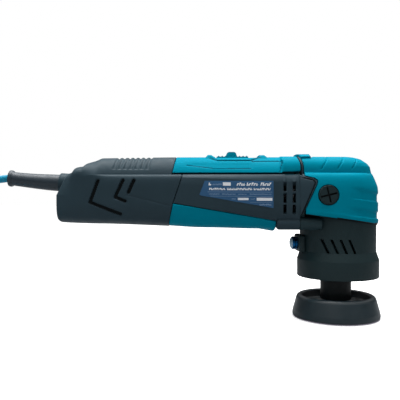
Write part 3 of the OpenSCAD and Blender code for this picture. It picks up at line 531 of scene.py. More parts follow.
def casing(x, q, inset=0.0):
    """y and z on one half of the casing: q runs 0-1 up the lower side, 1-2 over the shoulder to
    the crease, and 2-3 up the raised spine to the top."""
    a, low, ledge, c, top = [np.interp(x, GRID_X, col) for col in COLUMNS]
    a, low, ledge, c, top = a - inset, low + inset, ledge - inset, c - inset, top - inset
    mid = (low + ledge) / 2
    t = [np.clip(q - k, 0, 1) * pi / 2 for k in range(3)]
    # The spine narrows towards its top over the body, and the shoulder is squarer behind the head
    slant = step_up((-51 - x) / 1.5) * step_up((x + 222) / 16)
    square = 0.29 * step_up((-38 - x) / 3)
    power = [POWER, POWER - square, POWER + 0.14 * slant]
    s = [np.abs(np.sin(v)) ** p for v, p in zip(t, power)]
    k = [np.abs(np.cos(v)) ** p for v, p in zip(t, power)]
    c = c * (1 - 0.24 * slant * s[2])
    y = np.where(q < 1, a * s[0], np.where(q < 2, c + (a - c) * k[1], c * k[2]))
    z = np.where(q < 1, mid - (mid - low) * k[0],
                 np.where(q < 2, mid + (ledge - mid) * s[1], ledge + (top - ledge) * s[2]))
    return y, z


def spaced(length, step, r0=0.0, r1=0.0, extra=()):
    """Places from 0 to length, about step apart, closer inside the rounded ends and at extras."""
    marks = set(np.linspace(0, length, max(2, int(round(length / step)) + 1)).round(4))
    for r, sign, base in ((r0, 1, 0), (r1, -1, length)):
        if r:
            marks = {m for m in marks if not 0 < abs(m - base) < r * 1.1}
            marks |= {round(base + sign * r * f, 4) for f in (0, 0.07, 0.2, 0.45, 0.75, 1.1)}
    for e in extra:
        marks = {m for m in marks if abs(m - e) > 0.12}
    return np.array(sorted(marks | {round(e, 4) for e in extra}))


def q_lines(q0, q1, step, r0=0.0, r1=0.0, at_x=BODY_X):
    """Values of q spaced evenly along the casing's section at at_x."""
    q = np.linspace(q0, q1, 6000)
    y, z = casing(at_x, q)
    s = np.concatenate([[0], np.cumsum(np.hypot(np.diff(y), np.diff(z)))])
    return np.interp(spaced(s[-1], step, r0, r1), s, q)


def drop(distance, r):
    """How far a rounded edge of radius r falls below the surface at a distance from the edge."""
    d = np.clip(distance, 0, r)
    return r - np.sqrt(np.maximum(r * r - (r - d) ** 2, 0))


def normals(points, away):
    """Unit normals of a grid of points, all on the side that away points to."""
    n = np.cross(np.gradient(points, axis=0), np.gradient(points, axis=1))
    n /= np.maximum(np.linalg.norm(n, axis=-1, keepdims=True), 1e-12)
    flip = np.sign((n * away).sum(-1, keepdims=True))
    return n * np.where(flip == 0, 1, flip)


def to_line(x, z, points):
    """Distance from each point to a polyline."""
    best = np.full(np.shape(x), 1e9)
    for (ax, az), (bx, bz) in zip(points, points[1:]):
        dx, dz = bx - ax, bz - az
        t = np.clip(((x - ax) * dx + (z - az) * dz) / (dx * dx + dz * dz), 0, 1)
        best = np.minimum(best, np.hypot(x - ax - t * dx, z - az - t * dz))
    return best


def groove(distance, width, depth, soft):
    """A groove's depth at a distance from its middle line."""
    return -depth * step_up((width / 2 + soft / 2 - distance) / soft)


def x_at(border, q, gap=0.0):
    """x of a seam, given as (z, x) pairs, on each line of constant q, with a gap in front of it."""
    line = np.array(border)
    x = np.full(np.shape(q), SEAM_X)
    for _ in range(8):
        x = np.interp(casing(x, q)[1], line[:, 0], line[:, 1]) + gap
    return x


# -------------------- rear handle
REAR_X = -242.6
ROUND_X = -240.2
ROUND_IN = 2.3
TAIL_MID = 103.0
REAR_SEAM_LOW = [(70, -147.8), (81.4, -146.7), (99.8, -142.6), (120.9, -135.5), (125, -135.5)]
REAR_SEAM_HIGH = [(122, -144.3), (124, -144), (137.4, -141.2), (150, -141)]
TAIL_GROOVES = [[(-204.6, 117.4), (-211.2, 99.6), (-186, 90)],
                [(-183.8, 117.6), (-190.2, 104), (-182, 100.6)],
                [(-174.8, 117.6), (-179.2, 107.8)]]
FAINT_LINE = [(-181, 105.6), (-145, 96.8)]
RIB_PITCH = 4.64
BOOT_TILT = 5.3


def lean(x, z):
    """How far the rear end leans forward at a height, fading out along the tail."""
    shift = np.where(z > 105.5, (z - 105.5) * 0.5, np.clip(85 - z, 0, 9) * 0.3)
    return shift * step_up((-222 - x) / 22)


def rear_patch(q, seam, side, wall, rib):
    """One closed part of a rear half: a rounded end, then the casing's form up to the seam."""
    end = x_at(seam, q)
    # Rings that close the rounded end, each with its x, its inset and its size
    cap = [(REAR_X, ROUND_IN, k) for k in (0.0, 0.3, 0.6, 0.85, 0.95, 1.0)]
    cap += [(ROUND_X - (ROUND_X - REAR_X) * sin(a), ROUND_IN * (1 - cos(a)), 1.0)
            for a in np.radians([78, 66, 54, 42, 30, 18, 8])]
    long = end.mean() - ROUND_X
    u = spaced(long, 0.45, 0, 0.7) / long
    x = np.vstack([np.full((1, len(q)), c[0]) for c in cap] + [ROUND_X + (end - ROUND_X) * f for f in u])
    inset = np.array([c[1] for c in cap] + [0.0] * len(u))[:, None] * np.ones_like(x)
    squeeze = np.array([c[2] for c in cap] + [1.0] * len(u))[:, None] * np.ones_like(x)
    rows = np.tile(q, (len(x), 1))
    y, z = casing(x, rows, inset)
    y, z = y * squeeze, TAIL_MID + (z - TAIL_MID) * squeeze
    x_out = x + lean(x, z)
    base = np.stack([x_out, y * side, z], -1)
    away = np.stack([np.where(x < ROUND_X + 0.5, -12.0, 0.0), (y + 1e-3) * side, z - TAIL_MID], -1)
    if rib:
        # Finger ribs across the spine
        run = np.clip((z - 127.4) / 11, 0, 1)
        phase = (x_out + 192.8 - 2.2 * run) / RIB_PITCH
        inside = step_up((phase + 0.5) / 0.2) * step_up((6.5 - phase) / 0.2) * step_up((z - 127) / 0.9)
        height = -0.95 * inside * step_up(1.3 - 3.1 * np.abs(phase - np.round(phase)))
    else:
        height = -0.3 * step_up(1 - to_line(x_out, z, FAINT_LINE)) * (np.abs(y) > 15)
        for line in TAIL_GROOVES:
            height += groove(to_line(x_out, z, line), 2.7, 1.8, 0.7) * (np.abs(y) > 15)
    height -= drop(np.abs(end - x) + (squeeze < 1) * 9, 0.7)
    height -= drop(np.abs(y) + (squeeze < 0.99) * 9, 0.4) * 0.6
    outer = base + normals(base, away) * height[..., None]
    outer[..., 1] = side * np.maximum(outer[..., 1] * side, 0.05)
    y_in, z_in = casing(np.maximum(x, REAR_X + 2), rows, inset + wall)
    y_in, z_in = np.maximum(y_in, 0) * squeeze, TAIL_MID + (z_in - TAIL_MID) * squeeze
    x_in = np.maximum(x, REAR_X + wall) + lean(x, z)
    return solid(outer, np.stack([x_in, (y_in + 0.05) * side, z_in], -1))


def rear_half(name, side):
    q_low = q_lines(0, 2, 0.5, 0.4, 0, -180)
    q_high = q_lines(2, 3, 0.5, 0, 0.4, -180)
    # Slot over the speed dial
    slot_box = block((-228.6, -2.5, 124.6), (-215.4, 2.5, 145), 0)
    parts = [rear_patch(q_low, REAR_SEAM_LOW, side, 3.2, False),
             cut(rear_patch(q_high, REAR_SEAM_HIGH, side, 2.4, True), slot_box)]
    # Half of the collar that grips the cord's boot
    ring = rounded([[7.0, 0], [8.8, 0], [9.2, 11.5], [7.0, 11.5]], [0.2, 0.8, 0.4, 0.2])
    tilt = Matrix.Translation((-243, 0, 116.3)) @ Matrix.Rotation(pi / 2 + radians(BOOT_TILT), 4, "Y")
    half = lathe(ring, 40, (0, 0), 0.4 if side > 0 else 180.4, 179.6 if side > 0 else 359.6)
    parts.append(turned(half, tilt))
    obj = make(name + "_v", *join(parts), BLACK, "frame", (name,), "black_shell", 42, merge=True)
    # Painted shade: the faces along the tail's V grooves get a near-black colour for the shade inside them
    paint(obj, PAINTED_SHADE_BLACK, lambda x, y, z: (np.abs(y) > 12) & (np.min(
        [to_line(x, z, line) for line in TAIL_GROOVES], axis=0) < 1.25))


rear_half("rear_shell_left", 1)
rear_half("rear_shell_right", -1)


# -------------------- arc length along the section
ARC_Q = np.linspace(0, 3, 12000)
ARC_Y, ARC_Z = casing(BODY_X, ARC_Q)
ARC_S = np.concatenate([[0], np.cumsum(np.hypot(np.diff(ARC_Y), np.diff(ARC_Z)))])
S_CREASE = float(np.interp(2, ARC_Q, ARC_S))
S_TOP = ARC_S[-1]


def q_of(s):
    return np.interp(s, ARC_S, ARC_Q)


def s_of_z(z):
    return np.interp(z, ARC_Z, ARC_S)


def s_edge(x):
    """Arc position of the lower panel's sloping top edge."""
    return s_of_z(np.interp(x, [SEAM_X, PANEL_X], [98.5, 84.3]))


def skin_grid(x, s, side, inset=0.0):
    y, z = casing(x, q_of(s), inset)
    return np.stack([x, np.maximum(y, 0) * side, z], -1)


def lift(base, height):
    """Moves a grid of points outwards, square to the surface, by a height for each."""
    away = base - np.array([0, 0, MIDDLE_Z])
    away[..., 0] = 0
    return base + normals(base, away) * height[..., None]


def both_sides(f):
    """Rows from the crease on the near side, under the bottom, to the crease on the far side."""
    return np.concatenate([-f[::-1], f[1:]])


def over_top(q):
    """Rows that go up to the top on the near side and down again on the far side."""
    return np.concatenate([q, q[-2::-1]]), np.repeat([-1.0, 1.0], [len(q), len(q) - 1])


# -------------------- motor housing
VENTS = [(x0, x1, z0, z1) for z0, z1 in ((90.1, 97.9), (99.4, 107.2), (108.7, 116.5))
         for x0, x1 in ((-52.3, -49.6), (-44.8, -42.0))]
# Rough lengths, in mm, of the surface below the panel's edge, above it and along the body:
# they turn distances from an edge into fractions
LOW_RUN = 26
HIGH_RUN = 50
BODY_RUN = 85
BOSS_Y = 24
BOSS_Z = 82


def motor_housing():
    edge_front = float(s_edge(np.array(PANEL_X)))
    low = spaced(1, 1 / 36, 0, 0, (1 - 0.15 / LOW_RUN, 1 - 0.6 / LOW_RUN))
    at_vents = sorted({(float(s_of_z(z)) - edge_front) / (S_CREASE - edge_front)
                       for vent in VENTS for z in vent[2:]})
    marks = [a + d for a in at_vents for d in (-0.005, 0, 0.005)]
    high = spaced(1, 1 / 64, 0, 0, marks + [0.25 / HIGH_RUN, 0.7 / HIGH_RUN])[1:]
    rows = both_sides(np.concatenate([low, 1 + high]))
    f = np.abs(rows)
    side = np.where(rows < 0, -1.0, 1.0)
    at_vents = sorted({v - PANEL_X for vent in VENTS for v in vent[:2]})
    marks = [a + d for a in at_vents for d in (-0.25, 0, 0.25)]
    front = spaced(FRONT_X - PANEL_X, 0.8, 0, 0.7, marks + [0.15, 0.6])
    back = spaced(1, 1 / 96, 0, 0, [1 - d / BODY_RUN for d in (0.6, 0.15)]
                  + [d / BODY_RUN for d in (0.15, 0.4, 0.8)])
    x = np.zeros((len(back) + len(front) - 1, len(rows)))
    for _ in range(4):
        sx = s_edge(x)
        s = np.where(f <= 1, sx * f, sx + (S_CREASE - sx) * (f - 1))
        border = x_at(REAR_SEAM_LOW, q_of(s[0]), SEAM_GAP)
        x = np.vstack([border + (PANEL_X - border) * b for b in back]
                      + [np.full(len(rows), PANEL_X + v) for v in front[1:]])
    base = skin_grid(x, s, side)
    z = base[..., 2]
    # Bed of the lower panel, then the rounded edges round it and at both ends
    height = np.where((x < PANEL_X - 0.1) & (f < 1 - 0.1 / LOW_RUN), -2.35, 0.0)
    height -= drop(np.where((x <= PANEL_X + 0.01) & (f >= 1), s - sx, 9), 0.45) * (height == 0)
    height -= drop(np.where((f <= 1) & (x >= PANEL_X), x - PANEL_X, 9), 0.45) * (height == 0)
    height -= drop(x - x[0], 0.5) * (height == 0)
    height -= drop(FRONT_X - x, 0.6)
    mid_x = (x[:-1, :-1] + x[1:, 1:]) / 2
    mid_z = (z[:-1, :-1] + z[1:, 1:]) / 2
    keep = np.ones(mid_x.shape, bool)
    for x0, x1, z0, z1 in VENTS:
        out_x = np.maximum(np.maximum(x0 - x, x - x1), 0)
        out_z = np.maximum(np.maximum(z0 - z, z - z1), 0)
        height -= 0.22 * (np.hypot(out_x, out_z) < 0.12)
        keep &= ~((mid_x > x0) & (mid_x < x1) & (mid_z > z0) & (mid_z < z1))
    parts = [solid(lift(base, height), skin_grid(x, s, side, 4.2), keep)]
    boss = rounded([[0, 0], [5.2, 0], [5.2, 19], [0, 19]], [0, 3.6, 0.5, 0])
    parts += [turned(lathe(boss, 64), along_x(-57.2, y, BOSS_Z)) for y in (-BOSS_Y, BOSS_Y)]
    # Motor tube inside the housing
    tube = rounded([[24, 0], [26, 0], [26, 88], [24, 88]], 0.3)
    parts.append(turned(lathe(tube, 96), along_x(-149, 0, 106)))
    parts += [tongue(-1), tongue(1), front_collar()]
    # Ledges that the top cover sits on; their faces under the cover's edge are painted dark teal below, as
    # painted shadow
    for y_sign in (-1, 1):
        s = np.linspace(S_CREASE - 0.2, float(s_of_z(COVER_Z)) + 0.6, 8)
        border = x_at(REAR_SEAM_HIGH, q_of(s), SEAM_GAP)
        x = np.minimum(border + (FRONT_X + 140) * np.linspace(0, 1, 90)[:, None], FRONT_X)
        x = x + np.linspace(0, 1e-3, len(x))[:, None]
        rows = np.tile(s, (len(x), 1))
        parts.append(solid(skin_grid(x, rows, y_sign, 0.8), skin_grid(x, rows, y_sign, 2.6)))
    housing = make("motor_housing_v", *join(parts), BLACK, "frame", ("motor_housing",), "black_shell", 42,
                   merge=True)
    # Painted shadow: the housing's faces just under the top cover's lower edge, and lower still behind the
    # head, get a dark teal for the shadow the cover casts there
    paint(housing, PAINTED_SHADE_TEAL, lambda x, y, z: (x < FRONT_X - 1) & (
        (z > 122.65) & (z < COVER_Z + 0.5) | (z > 121.4) & (z < COVER_Z) & (x > -51)))
    # Painted shade: the sunk faces of the edge between the two covers, and a line along the lip over the
    # head's side, get a near-black colour for the shade in these gaps
    paint(housing, PAINTED_SHADE_BLACK, lambda x, y, z: (z > 122.65) & (
        (x > FRONT_X - 3) & (np.abs(x - HEAD_REAR - seam_lean(z)) > 0.65))
        | (x > HEAD_REAR - 0.5) & (to_line(x, z, TONGUE_LINE) < 0.5) & (np.abs(y) > 29))


# -------------------- head surface
TONGUE_LINE = [(-39, 120.5), (-28, 117.9), (-26.7, 116.3), (-26.9, 114), (-38.5, 87)]
HEAD_LEVELS = np.array([[70, 33.8], [109, 33.8], [112.8, 33.4], [118.4, 31.2], [125.3, 28.3],
                        [129.9, 27.3], [132.7, 25], [136.4, 19.6], [138, 14.6], [138.7, 9.8], [138.95, 7.5]])
HEAD_REAR = -37.85
NOSE_U = 0.42  # where the straight side of the head ends and the nose begins
EDGE_SLOPE = 11.3 / 85
EDGE_AT_ZERO = 91.4 - 45 * EDGE_SLOPE


def seam_lean(z):
    """How far the seam between the covers leans forward at a height."""
    return np.interp(z, [131, 139], [2.6, 0.9])


def head_point(u, q, inset=0.0, side=1.0):
    """A point of the head: u runs 0-1 from the rear seam along the side to the middle of the nose."""
    y0, z = casing(HEAD_X, q, inset)
    w = np.where(q < 1, casing(HEAD_X, 1.0, inset)[0], y0)
    wide = w * 1.1
    front = np.interp(z + inset, HEAD_LEVELS[:, 0], HEAD_LEVELS[:, 1]) - inset
    xs = HEAD_REAR * (1 - u / NOSE_U)
    side_y = w + (wide - w) * (1 - np.clip(xs / HEAD_REAR, -1, 1) ** 2)
    t = np.clip((u - NOSE_U) / (1 - NOSE_U), 0, 1) * pi / 2
    x = np.where(u < NOSE_U, xs + (seam_lean(z) + 1.3) * (1 - u / NOSE_U), front * np.sin(t))
    y = np.where(u < NOSE_U, side_y, wide * np.cos(t))
    return np.stack([x, y * side, z + 0 * x], -1)


def head_edge(x):
    """Height of the head cover's sloping lower edge."""
    return EDGE_AT_ZERO - EDGE_SLOPE * x


def head_rows(u):
    """q of each row on each column, from the sloping lower edge up to the top."""
    s0 = s_of_z(90.0)
    f = spaced(S_TOP - s0, 0.7, 0.6, 0, (S_CREASE - s0,)) / (S_TOP - s0)
    k = (S_CREASE - s0) / (S_TOP - s0)
    upper = S_CREASE + (S_TOP - S_CREASE) * (f - k) / (1 - k)
    cols = []
    for uu in u:
        q_low = 0.8
        for _ in range(6):
            p = head_point(np.array(uu), np.array(q_low))
            q_low = float(q_of(s_of_z(head_edge(p[0]))))
        low = float(np.interp(q_low, ARC_Q, ARC_S))
        cols.append(q_of(np.where(f <= k, low + (S_CREASE - low) * f / k, upper)))
    return np.array(cols)


# Each flute: the height at x = 0 and the fall forward of its two edges, and where it starts
FLUTES = [((112.9, 0.165), (102.2, 0.09), 0.0), ((96.4, 0.13), (88.4, 0.11), -3.0)]
TONGUE = [(-38, 121.5), (-36.6, 121.3), (-27.5, 119.2), (-24.9, 117), (-24.9, 115), (-36.6, 89.8), (-38, 89)]
PLUG_X = -15.9
PLUG_Z = 105.6


def head_cover():
    u = np.concatenate([spaced(NOSE_U, NOSE_U / 52, 0, 0, (0.15 / 90, 0.45 / 90, 0.9 / 90)),
                        NOSE_U + spaced(1 - NOSE_U, (1 - NOSE_U) / 72)[1:]])
    q = head_rows(u)
    uu = np.tile(u[:, None], (1, q.shape[1]))
    around_tongue = [(x + (0.8 if x > -37 else -2), z + (0.7 if z > 114 else 0)) for x, z in TONGUE]
    parts = []
    for side in (-1, 1):
        base = head_point(uu, q, 0.0, side)
        away = base - np.array([0, 0, 108.0])
        away[..., 0] = np.where(base[..., 0] > 0, base[..., 0], 0)
        away[..., 1] += 1e-3 * side
        x, z = base[..., 0], base[..., 2]
        height = np.zeros_like(x)
        # Cross grooves over the spine, leaning back towards their lower ends
        for top_x in (-24.3, -12.9, 0.6, 12.7):
            line_x = top_x - 8.5 * np.clip((138.5 - z) / 13, 0, 1) ** 1.2
            height += groove(np.abs(x - line_x), 1.1, 0.65, 0.5) * step_up((z - 126.6) / 1.5) * (q > 2)
        # Recessed bands round the nose, deeper towards the front
        for upper, lower, start in FLUTES:
            below_top = step_up((upper[0] - upper[1] * x - z) / 2.4)
            above_low = step_up((z - lower[0] + lower[1] * x) / 0.9)
            height -= step_up((x - start) / 14) * below_top * above_low
        # Faint swells along the crease and above the lower edge
        height += 0.35 * np.exp(-((z - 124.2 - 0.03 * (x + 38)) / 0.7) ** 2) * (q <= 2)
        height += 0.25 * np.exp(-((z - head_edge(x) - 3) / 0.9) ** 2) * (x > -30)
        height -= drop(x - HEAD_REAR - seam_lean(z) - 1.3, 0.5)
        height -= drop(z - head_edge(x), 0.8)
        outer = base + normals(base, away) * height[..., None]
        outer[..., 1] = side * np.maximum(outer[..., 1] * side, 0)
        inner = head_point(uu, q, 2.2, side)
        inner[..., 0] = np.where(uu < 0.05, base[..., 0], inner[..., 0])
        inner[..., 2] = np.maximum(inner[..., 2], head_edge(inner[..., 0]))
        pocket = prism(around_tongue, *sorted((20 * side, 60 * side)))
        hole = turned(rod(8.6, 0, 20, 72), along_y(PLUG_X, 24 * side, PLUG_Z, side))
        parts.append(cut(solid(outer, inner), pocket, hole))
    # Lug on top
    parts.append(prism([(-37.2, 138.4), (-37.2, 141.1), (-26.4, 141.2), (-25.4, 140.2), (-25.4, 137)],
                       -7, 7, 0.7))
    parts.append(seam_tab())
    head = make("head_cover_v", *join(parts), TEAL, "frame", ("head_cover",), "teal_shell", 38, merge=True)
    # Painted shade: a thin band along the head cover's lower edge gets a near-black colour for the shade
    # line where it meets the bell
    paint(head, PAINTED_SHADE_BLACK, lambda x, y, z: (z < head_edge(x) + 0.35) & (np.hypot(x, y) > 28))


def seam_tab():
    """A raised tab of the head cover, wrapped over the top beside the seam."""
    q, side = over_top(q_lines(float(q_of(s_of_z(136))), 3, 0.7, 0.7))
    y, z = casing(HEAD_X, q)
    away = np.stack([0 * y, y * side, z - 110], -1)
    away /= np.linalg.norm(away, axis=-1, keepdims=True)
    outer, inner = [], []
    for x, up in ((-35.4, -0.4), (-35.3, 1.4), (-34.8, 1.9), (-27.6, 2.0), (-27.1, 1.6), (-27, -0.4)):
        base = np.stack([0 * y + x, y * side, z], -1)
        outer.append(base + away * up)
        inner.append(base - away * 1.5)
    return solid(np.array(outer), np.array(inner))


def front_collar():
    """The black edge that shows between the two covers, a little below their surfaces."""
    q, side = over_top(q_lines(1.0, 3, 1.0))
    outer, inner = [], []
    for along, sunk in ((-2.6, 1.0), (-0.75, 1.0), (-0.6, 0.1), (0.6, 0.1), (0.75, 1.0), (2.6, 1.0)):
        for inset, grid in ((sunk, outer), (2.8, inner)):
            y, z = casing(-38.0, q, inset)
            grid.append(np.stack([HEAD_REAR + seam_lean(z) * (z > 100) + along, y * side, z], -1))
    return solid(np.array(outer), np.array(inner))


def tongue(side):
    """A flat lip of the motor housing that laps over the head's side."""
    low, high = 89.4, 121.4
    z = low + spaced(high - low, 0.6, 0.7, 0.7, (25.6, 27.6, 29.8))
    right = np.interp(z, [89.4, 89.8, 115, 117, 119.2, 121.3, 121.4],
                      [-37.2, -36.6, -24.9, -24.9, -27.5, -36.6, -37])
    f = spaced(12, 0.5, 0, 0.7) / 12
    x = HEAD_REAR - 0.6 + (right - HEAD_REAR + 0.6) * f[:, None]
    zz = np.tile(z, (len(f), 1))
    section = casing(HEAD_X, np.linspace(0, 2, 800))
    w = np.where(zz < 100.5, 31.0, np.interp(zz, section[1], section[0]))
    y = w * (1 + 0.1 * (1 - (x / HEAD_REAR) ** 2))
    base = np.stack([x, y * side, zz], -1)
    height = 0.1 - drop(right - x, 0.6) - drop(zz - low, 0.6) * 0.6 - drop(high - zz, 0.6)
    height += groove(to_line(x, zz, TONGUE_LINE), 1.0, 0.6, 0.4)
    n = normals(base, np.stack([0 * x, y * side, 0 * x], -1))
    return solid(base + n * height[..., None], base - n * 2.0)


motor_housing()
head_cover()


# -------------------- lower panel
def lower_panel():
    f = both_sides(spaced(1, 1 / 44, 0, 0, [1 - d / 28 for d in (0.05, 0.2, 0.5, 0.8)]))
    side = np.where(f < 0, -1.0, 1.0)
    marks = [d / 88 for d in (0.05, 0.2, 0.5, 0.8)]
    cols = spaced(1, 1 / 110, 0, 0, marks + [1 - m for m in marks])
    end = PANEL_X - SEAM_GAP
    x = np.full((len(cols), len(f)), BODY_X)
    for _ in range(4):
        s = (s_edge(x) - SEAM_GAP) * np.abs(f)
        border = x_at(REAR_SEAM_LOW, q_of(s[0]), SEAM_GAP)
        x = border + (end - border) * cols[:, None]
    base = skin_grid(x, s, side)
    z = base[..., 2]
    # A shallow facet below the sloping edge, and a lip at the front of the bottom
    facet = 97.2 - (x + 146) * 0.105
    height = -0.45 * step_up((facet - z) / 1.6) * step_up((-76 - x) / 30)
    height += 1.1 * step_up((x + 150) / 30) * step_up((84 - z) / 5)
    height += 1.8 * step_up((x + 64.5) / 5) * step_up((86 - z) / 6)
    height -= drop(x - border, 0.6) + drop(end - x, 0.6)
    height -= drop((1 - np.abs(f)) * s_edge(x), 0.6)
    make("lower_panel_v", *solid(lift(base, height), skin_grid(x, s, side, 2.1)), TEAL, "frame",
         ("lower_panel",), "teal_shell", 42)


lower_panel()


# -------------------- top cover
RECESS_X = (-107.0, -70.0)
RECESS_Y = 9.4
FOLD_LINE = [(-131.6, 130.8), (-109.8, 128), (-78.3, 127.9)]
RIM = [(-117, 130), (-115.6, 138.4), (-113.8, 140.5), (-110.8, 140.5), (-108.2, 138.6), (-107, 130),
       (-75, 130), (-72.5, 138), (-69.5, 140.2), (-65.2, 140.3), (-62.8, 138.6), (-61.5, 130)]
PANEL_LINE = [(-77, 134.1), (-51.2, 134.1), (-53.8, 125)]


def rim_line(x):
    """Height of the lower edge of the raised area round the slider."""
    return np.interp(x, [-112.3, -105.8, -77.6, -68.7], [137.6, 135.2, 135.2, 138.4])


def top_cover():
    s0 = float(s_of_z(COVER_Z))
    span = S_TOP - s0
    spine = ARC_Q > 2.02
    marks = [float(np.interp(-y, -ARC_Y[spine], ARC_S[spine])) - s0
             for y in (RECESS_Y, RECESS_Y + 0.2, 13.9, 14.15)]
    f = spaced(span, 0.55, 0.6, 0, marks)
    rows = np.concatenate([f, (2 * span - f[::-1])[1:]])
    side = np.where(rows <= span, -1.0, 1.0)
    s = s0 + np.where(rows <= span, rows, 2 * span - rows)
    run = 103.5
    cols = spaced(run, 0.7, 0.7, 0.7, [v - SEAM_X + d for v in RECESS_X for d in (-0.1, 0.1)]) / run
    border = x_at(REAR_SEAM_HIGH, q_of(s), SEAM_GAP)
    front = FRONT_X - 1.3 + seam_lean(casing(np.full(s.shape, -40.0), q_of(s))[1])
    x = border + (front - border) * cols[:, None]
    ss = np.tile(s, (len(cols), 1))
    base = skin_grid(x, ss, side)
    y, z = np.abs(base[..., 1]), base[..., 2]
    # Fine grooves, the sunk flank beside the slider, and the raised areas round it and at the front
    height = groove(to_line(x, z, PANEL_LINE), 0.9, 0.5, 0.4) * (y > 9)
    height += groove(np.abs(z - rim_line(x) + 0.3), 0.9, 0.5, 0.3) * (np.abs(x + 90.5) < 22.5) * (y > 9)
    height += groove(to_line(x, z, FOLD_LINE), 0.7, 0.5, 0.4) * (y > 9)
    flank = np.interp(x, [-131.6, -109.8, -78, -60], [131.2, 128.6, 128.3, 128.3])
    ends = step_up((x + 133) / 8) * step_up((-74 - x) / 6)
    height -= 0.4 * step_up((z - flank + 0.3) / 0.5) * ends * step_up((133.8 - z) / 3)
    ends = step_up((x + 113) / 1.5) * step_up((-67.5 - x) / 1.5)
    height += 0.45 * step_up((z - rim_line(x) + 0.15) / 0.3) * ends
    height += 0.35 * step_up((x + 51.6) / 0.6)
    height -= drop(x - border, 0.6) + drop(front - x, 0.5)
    outer = lift(base, height)
    outer[..., 1] = side * np.abs(outer[..., 1])
    rim = np.minimum(np.interp(x, *np.array(RIM).T), 101 + np.sqrt(np.maximum(1600 - y * y, 0)))
    rise = np.maximum(rim - outer[..., 2], 0) * step_up((z - np.minimum(rim_line(x), 136.6)) / 1.6)
    in_recess = (x > RECESS_X[0]) & (x < RECESS_X[1]) & (y < RECESS_Y + 0.05)
    outer[..., 2] = np.maximum(np.where(in_recess, 137.2, outer[..., 2] + rise), COVER_Z)
    inner = skin_grid(x, ss, side, 2.3)
    inner[..., 2] = np.maximum(np.where(in_recess, 135.4, inner[..., 2]), COVER_Z)
    cover = make("top_cover_v", *solid(outer, inner), TEAL, "frame", ("top_cover",), "teal_shell", 42)
    # Painted shade: the faces in the rim, panel and fold grooves get a darker teal for the shade in them
    paint(cover, PAINTED_LINE_SHADE, lambda x, y, z: (np.abs(y) > 9.6) & (
        (np.abs(z - rim_line(x) + 0.3) < 0.4) & (np.abs(x + 90.5) < 22.5)
        | (to_line(x, z, PANEL_LINE) < 0.35) | (to_line(x, z, FOLD_LINE) < 0.4)))


top_cover()


# -------------------- rating plate
WHITE_INK = plastic("white_ink", linear(245, 248, 252), 0.5, 0.03, 600, 0.05, 0.4)
INK_BLUE = plastic("ink_blue", linear(120, 150, 185), 0.45, 0.05, 600, 0.05, 0.4)


def on_side(limits, top, thick):
    """A thin plate on the casing's near side between x limits given as (z, x0, x1)."""
    z, x0, x1 = np.array(limits).T
    f = np.linspace(0, 1, max(3, int((x1 - x0).max() / 1.5) + 2))
    x = x0 + (x1 - x0) * f[:, None]
    flank = ARC_Q < 1.98
    y, zz = casing(x, np.interp(np.tile(z, (len(f), 1)), ARC_Z[flank], ARC_Q[flank]))
    base = np.stack([x, -y, zz], -1)
    n = normals(base, np.stack([0 * x, -y, zz - MIDDLE_Z], -1))
    return solid(base + n * top, base + n * (top - thick))


def rating_plate():
    z = np.linspace(95.2, 117.2, 30)
    left = np.where(z < 105.3, np.interp(z, [95.2, 105.3], [-60.6, -121.2]),
                    np.interp(z, [105.3, 117.2], [-121.2, -116.6]))
    plate = on_side([(zz, edge, -60.4) for zz, edge in zip(z, left)], 0.18, 0.5)
    make("label_plate_v", *plate, MATERIALS["label"], "frame", ("label_plate",), "label", 60)
    rng = np.random.default_rng(7)
    ink_parts = {"white": [], "pale": []}

    def slab(x0, x1, z0, z1, ink, slant=0.0, top=0.24):
        limits = [(z0 + (z1 - z0) * f, x0 + slant * f, x1 + slant * f) for f in (0, 0.5, 1)]
        ink_parts[ink].append(on_side(limits, top, 0.12))

    def word(x0, x1, z0, z1, ink, size=1.3, slant=0.0):
        """A row of made-up marks, each a stem and half a bowl, that reads as printing from afar."""
        x = x0
        while x < x1 - 0.4 * size:
            w = min(size * (0.75 + 0.45 * rng.random()), x1 - x)
            split = z0 + (z1 - z0) * 0.45
            tall = z1 - (z1 - z0) * 0.22 * (rng.random() < 0.5)
            slab(x, x + 0.42 * w, z0, tall, ink, slant)
            bowl = (split, tall) if rng.random() < 0.6 else (z0, split)
            slab(x + 0.42 * w, x + 0.85 * w, *bowl, ink, slant, 0.235)
            x += w

    word(-113.6, -110.9, 113.4, 115.7, "white", 2.2, 0.4)
    word(-110.2, -102.6, 113.6, 114.9, "pale", 1.0)
    slab(-101.8, -95.4, 113.2, 115.9, "white")
    for x0, x1 in ((-90.6, -83.2), (-82.6, -73.4), (-71.2, -62.4)):
        word(x0, x1, 113.2, 115.8, "white", 1.9, 0.7)
    for x0, x1 in ((-113.0, -99.6), (-98.4, -77.8), (-76.6, -62.8)):
        word(x0, x1, 109.6, 111.4, "white", 1.35)
    slab(-114.4, -61.6, 107.9, 108.25, "pale")
    for x0, x1 in ((-113.2, -104.5), (-102.4, -91.0), (-89.2, -82.4), (-79.8, -62.0)):
        word(x0, x1, 105.9, 106.8, "pale", 0.9)
    slab(-112.0, -61.6, 104.5, 104.8, "pale")
    word(-94.6, -90.8, 102.0, 102.9, "pale", 0.9)
    slab(-89.6, -80.8, 101.5, 103.3, "white")
    word(-79.0, -75.5, 102.0, 102.9, "pale", 0.9)
    slab(-74.2, -61.4, 101.1, 103.4, "white")
    slab(-79.4, -62.0, 99.6, 99.8, "pale")
    word(-71.8, -62.0, 97.2, 98.6, "pale", 1.3)
    for ink, material in (("white", WHITE_INK), ("pale", INK_BLUE)):
        make("label_print_" + ink, *join(ink_parts[ink]), material, "frame", (), "label", 60)


rating_plate()


# -------------------- bell round the eccentric
LOCK_X = -40
LOCK_Z = 64


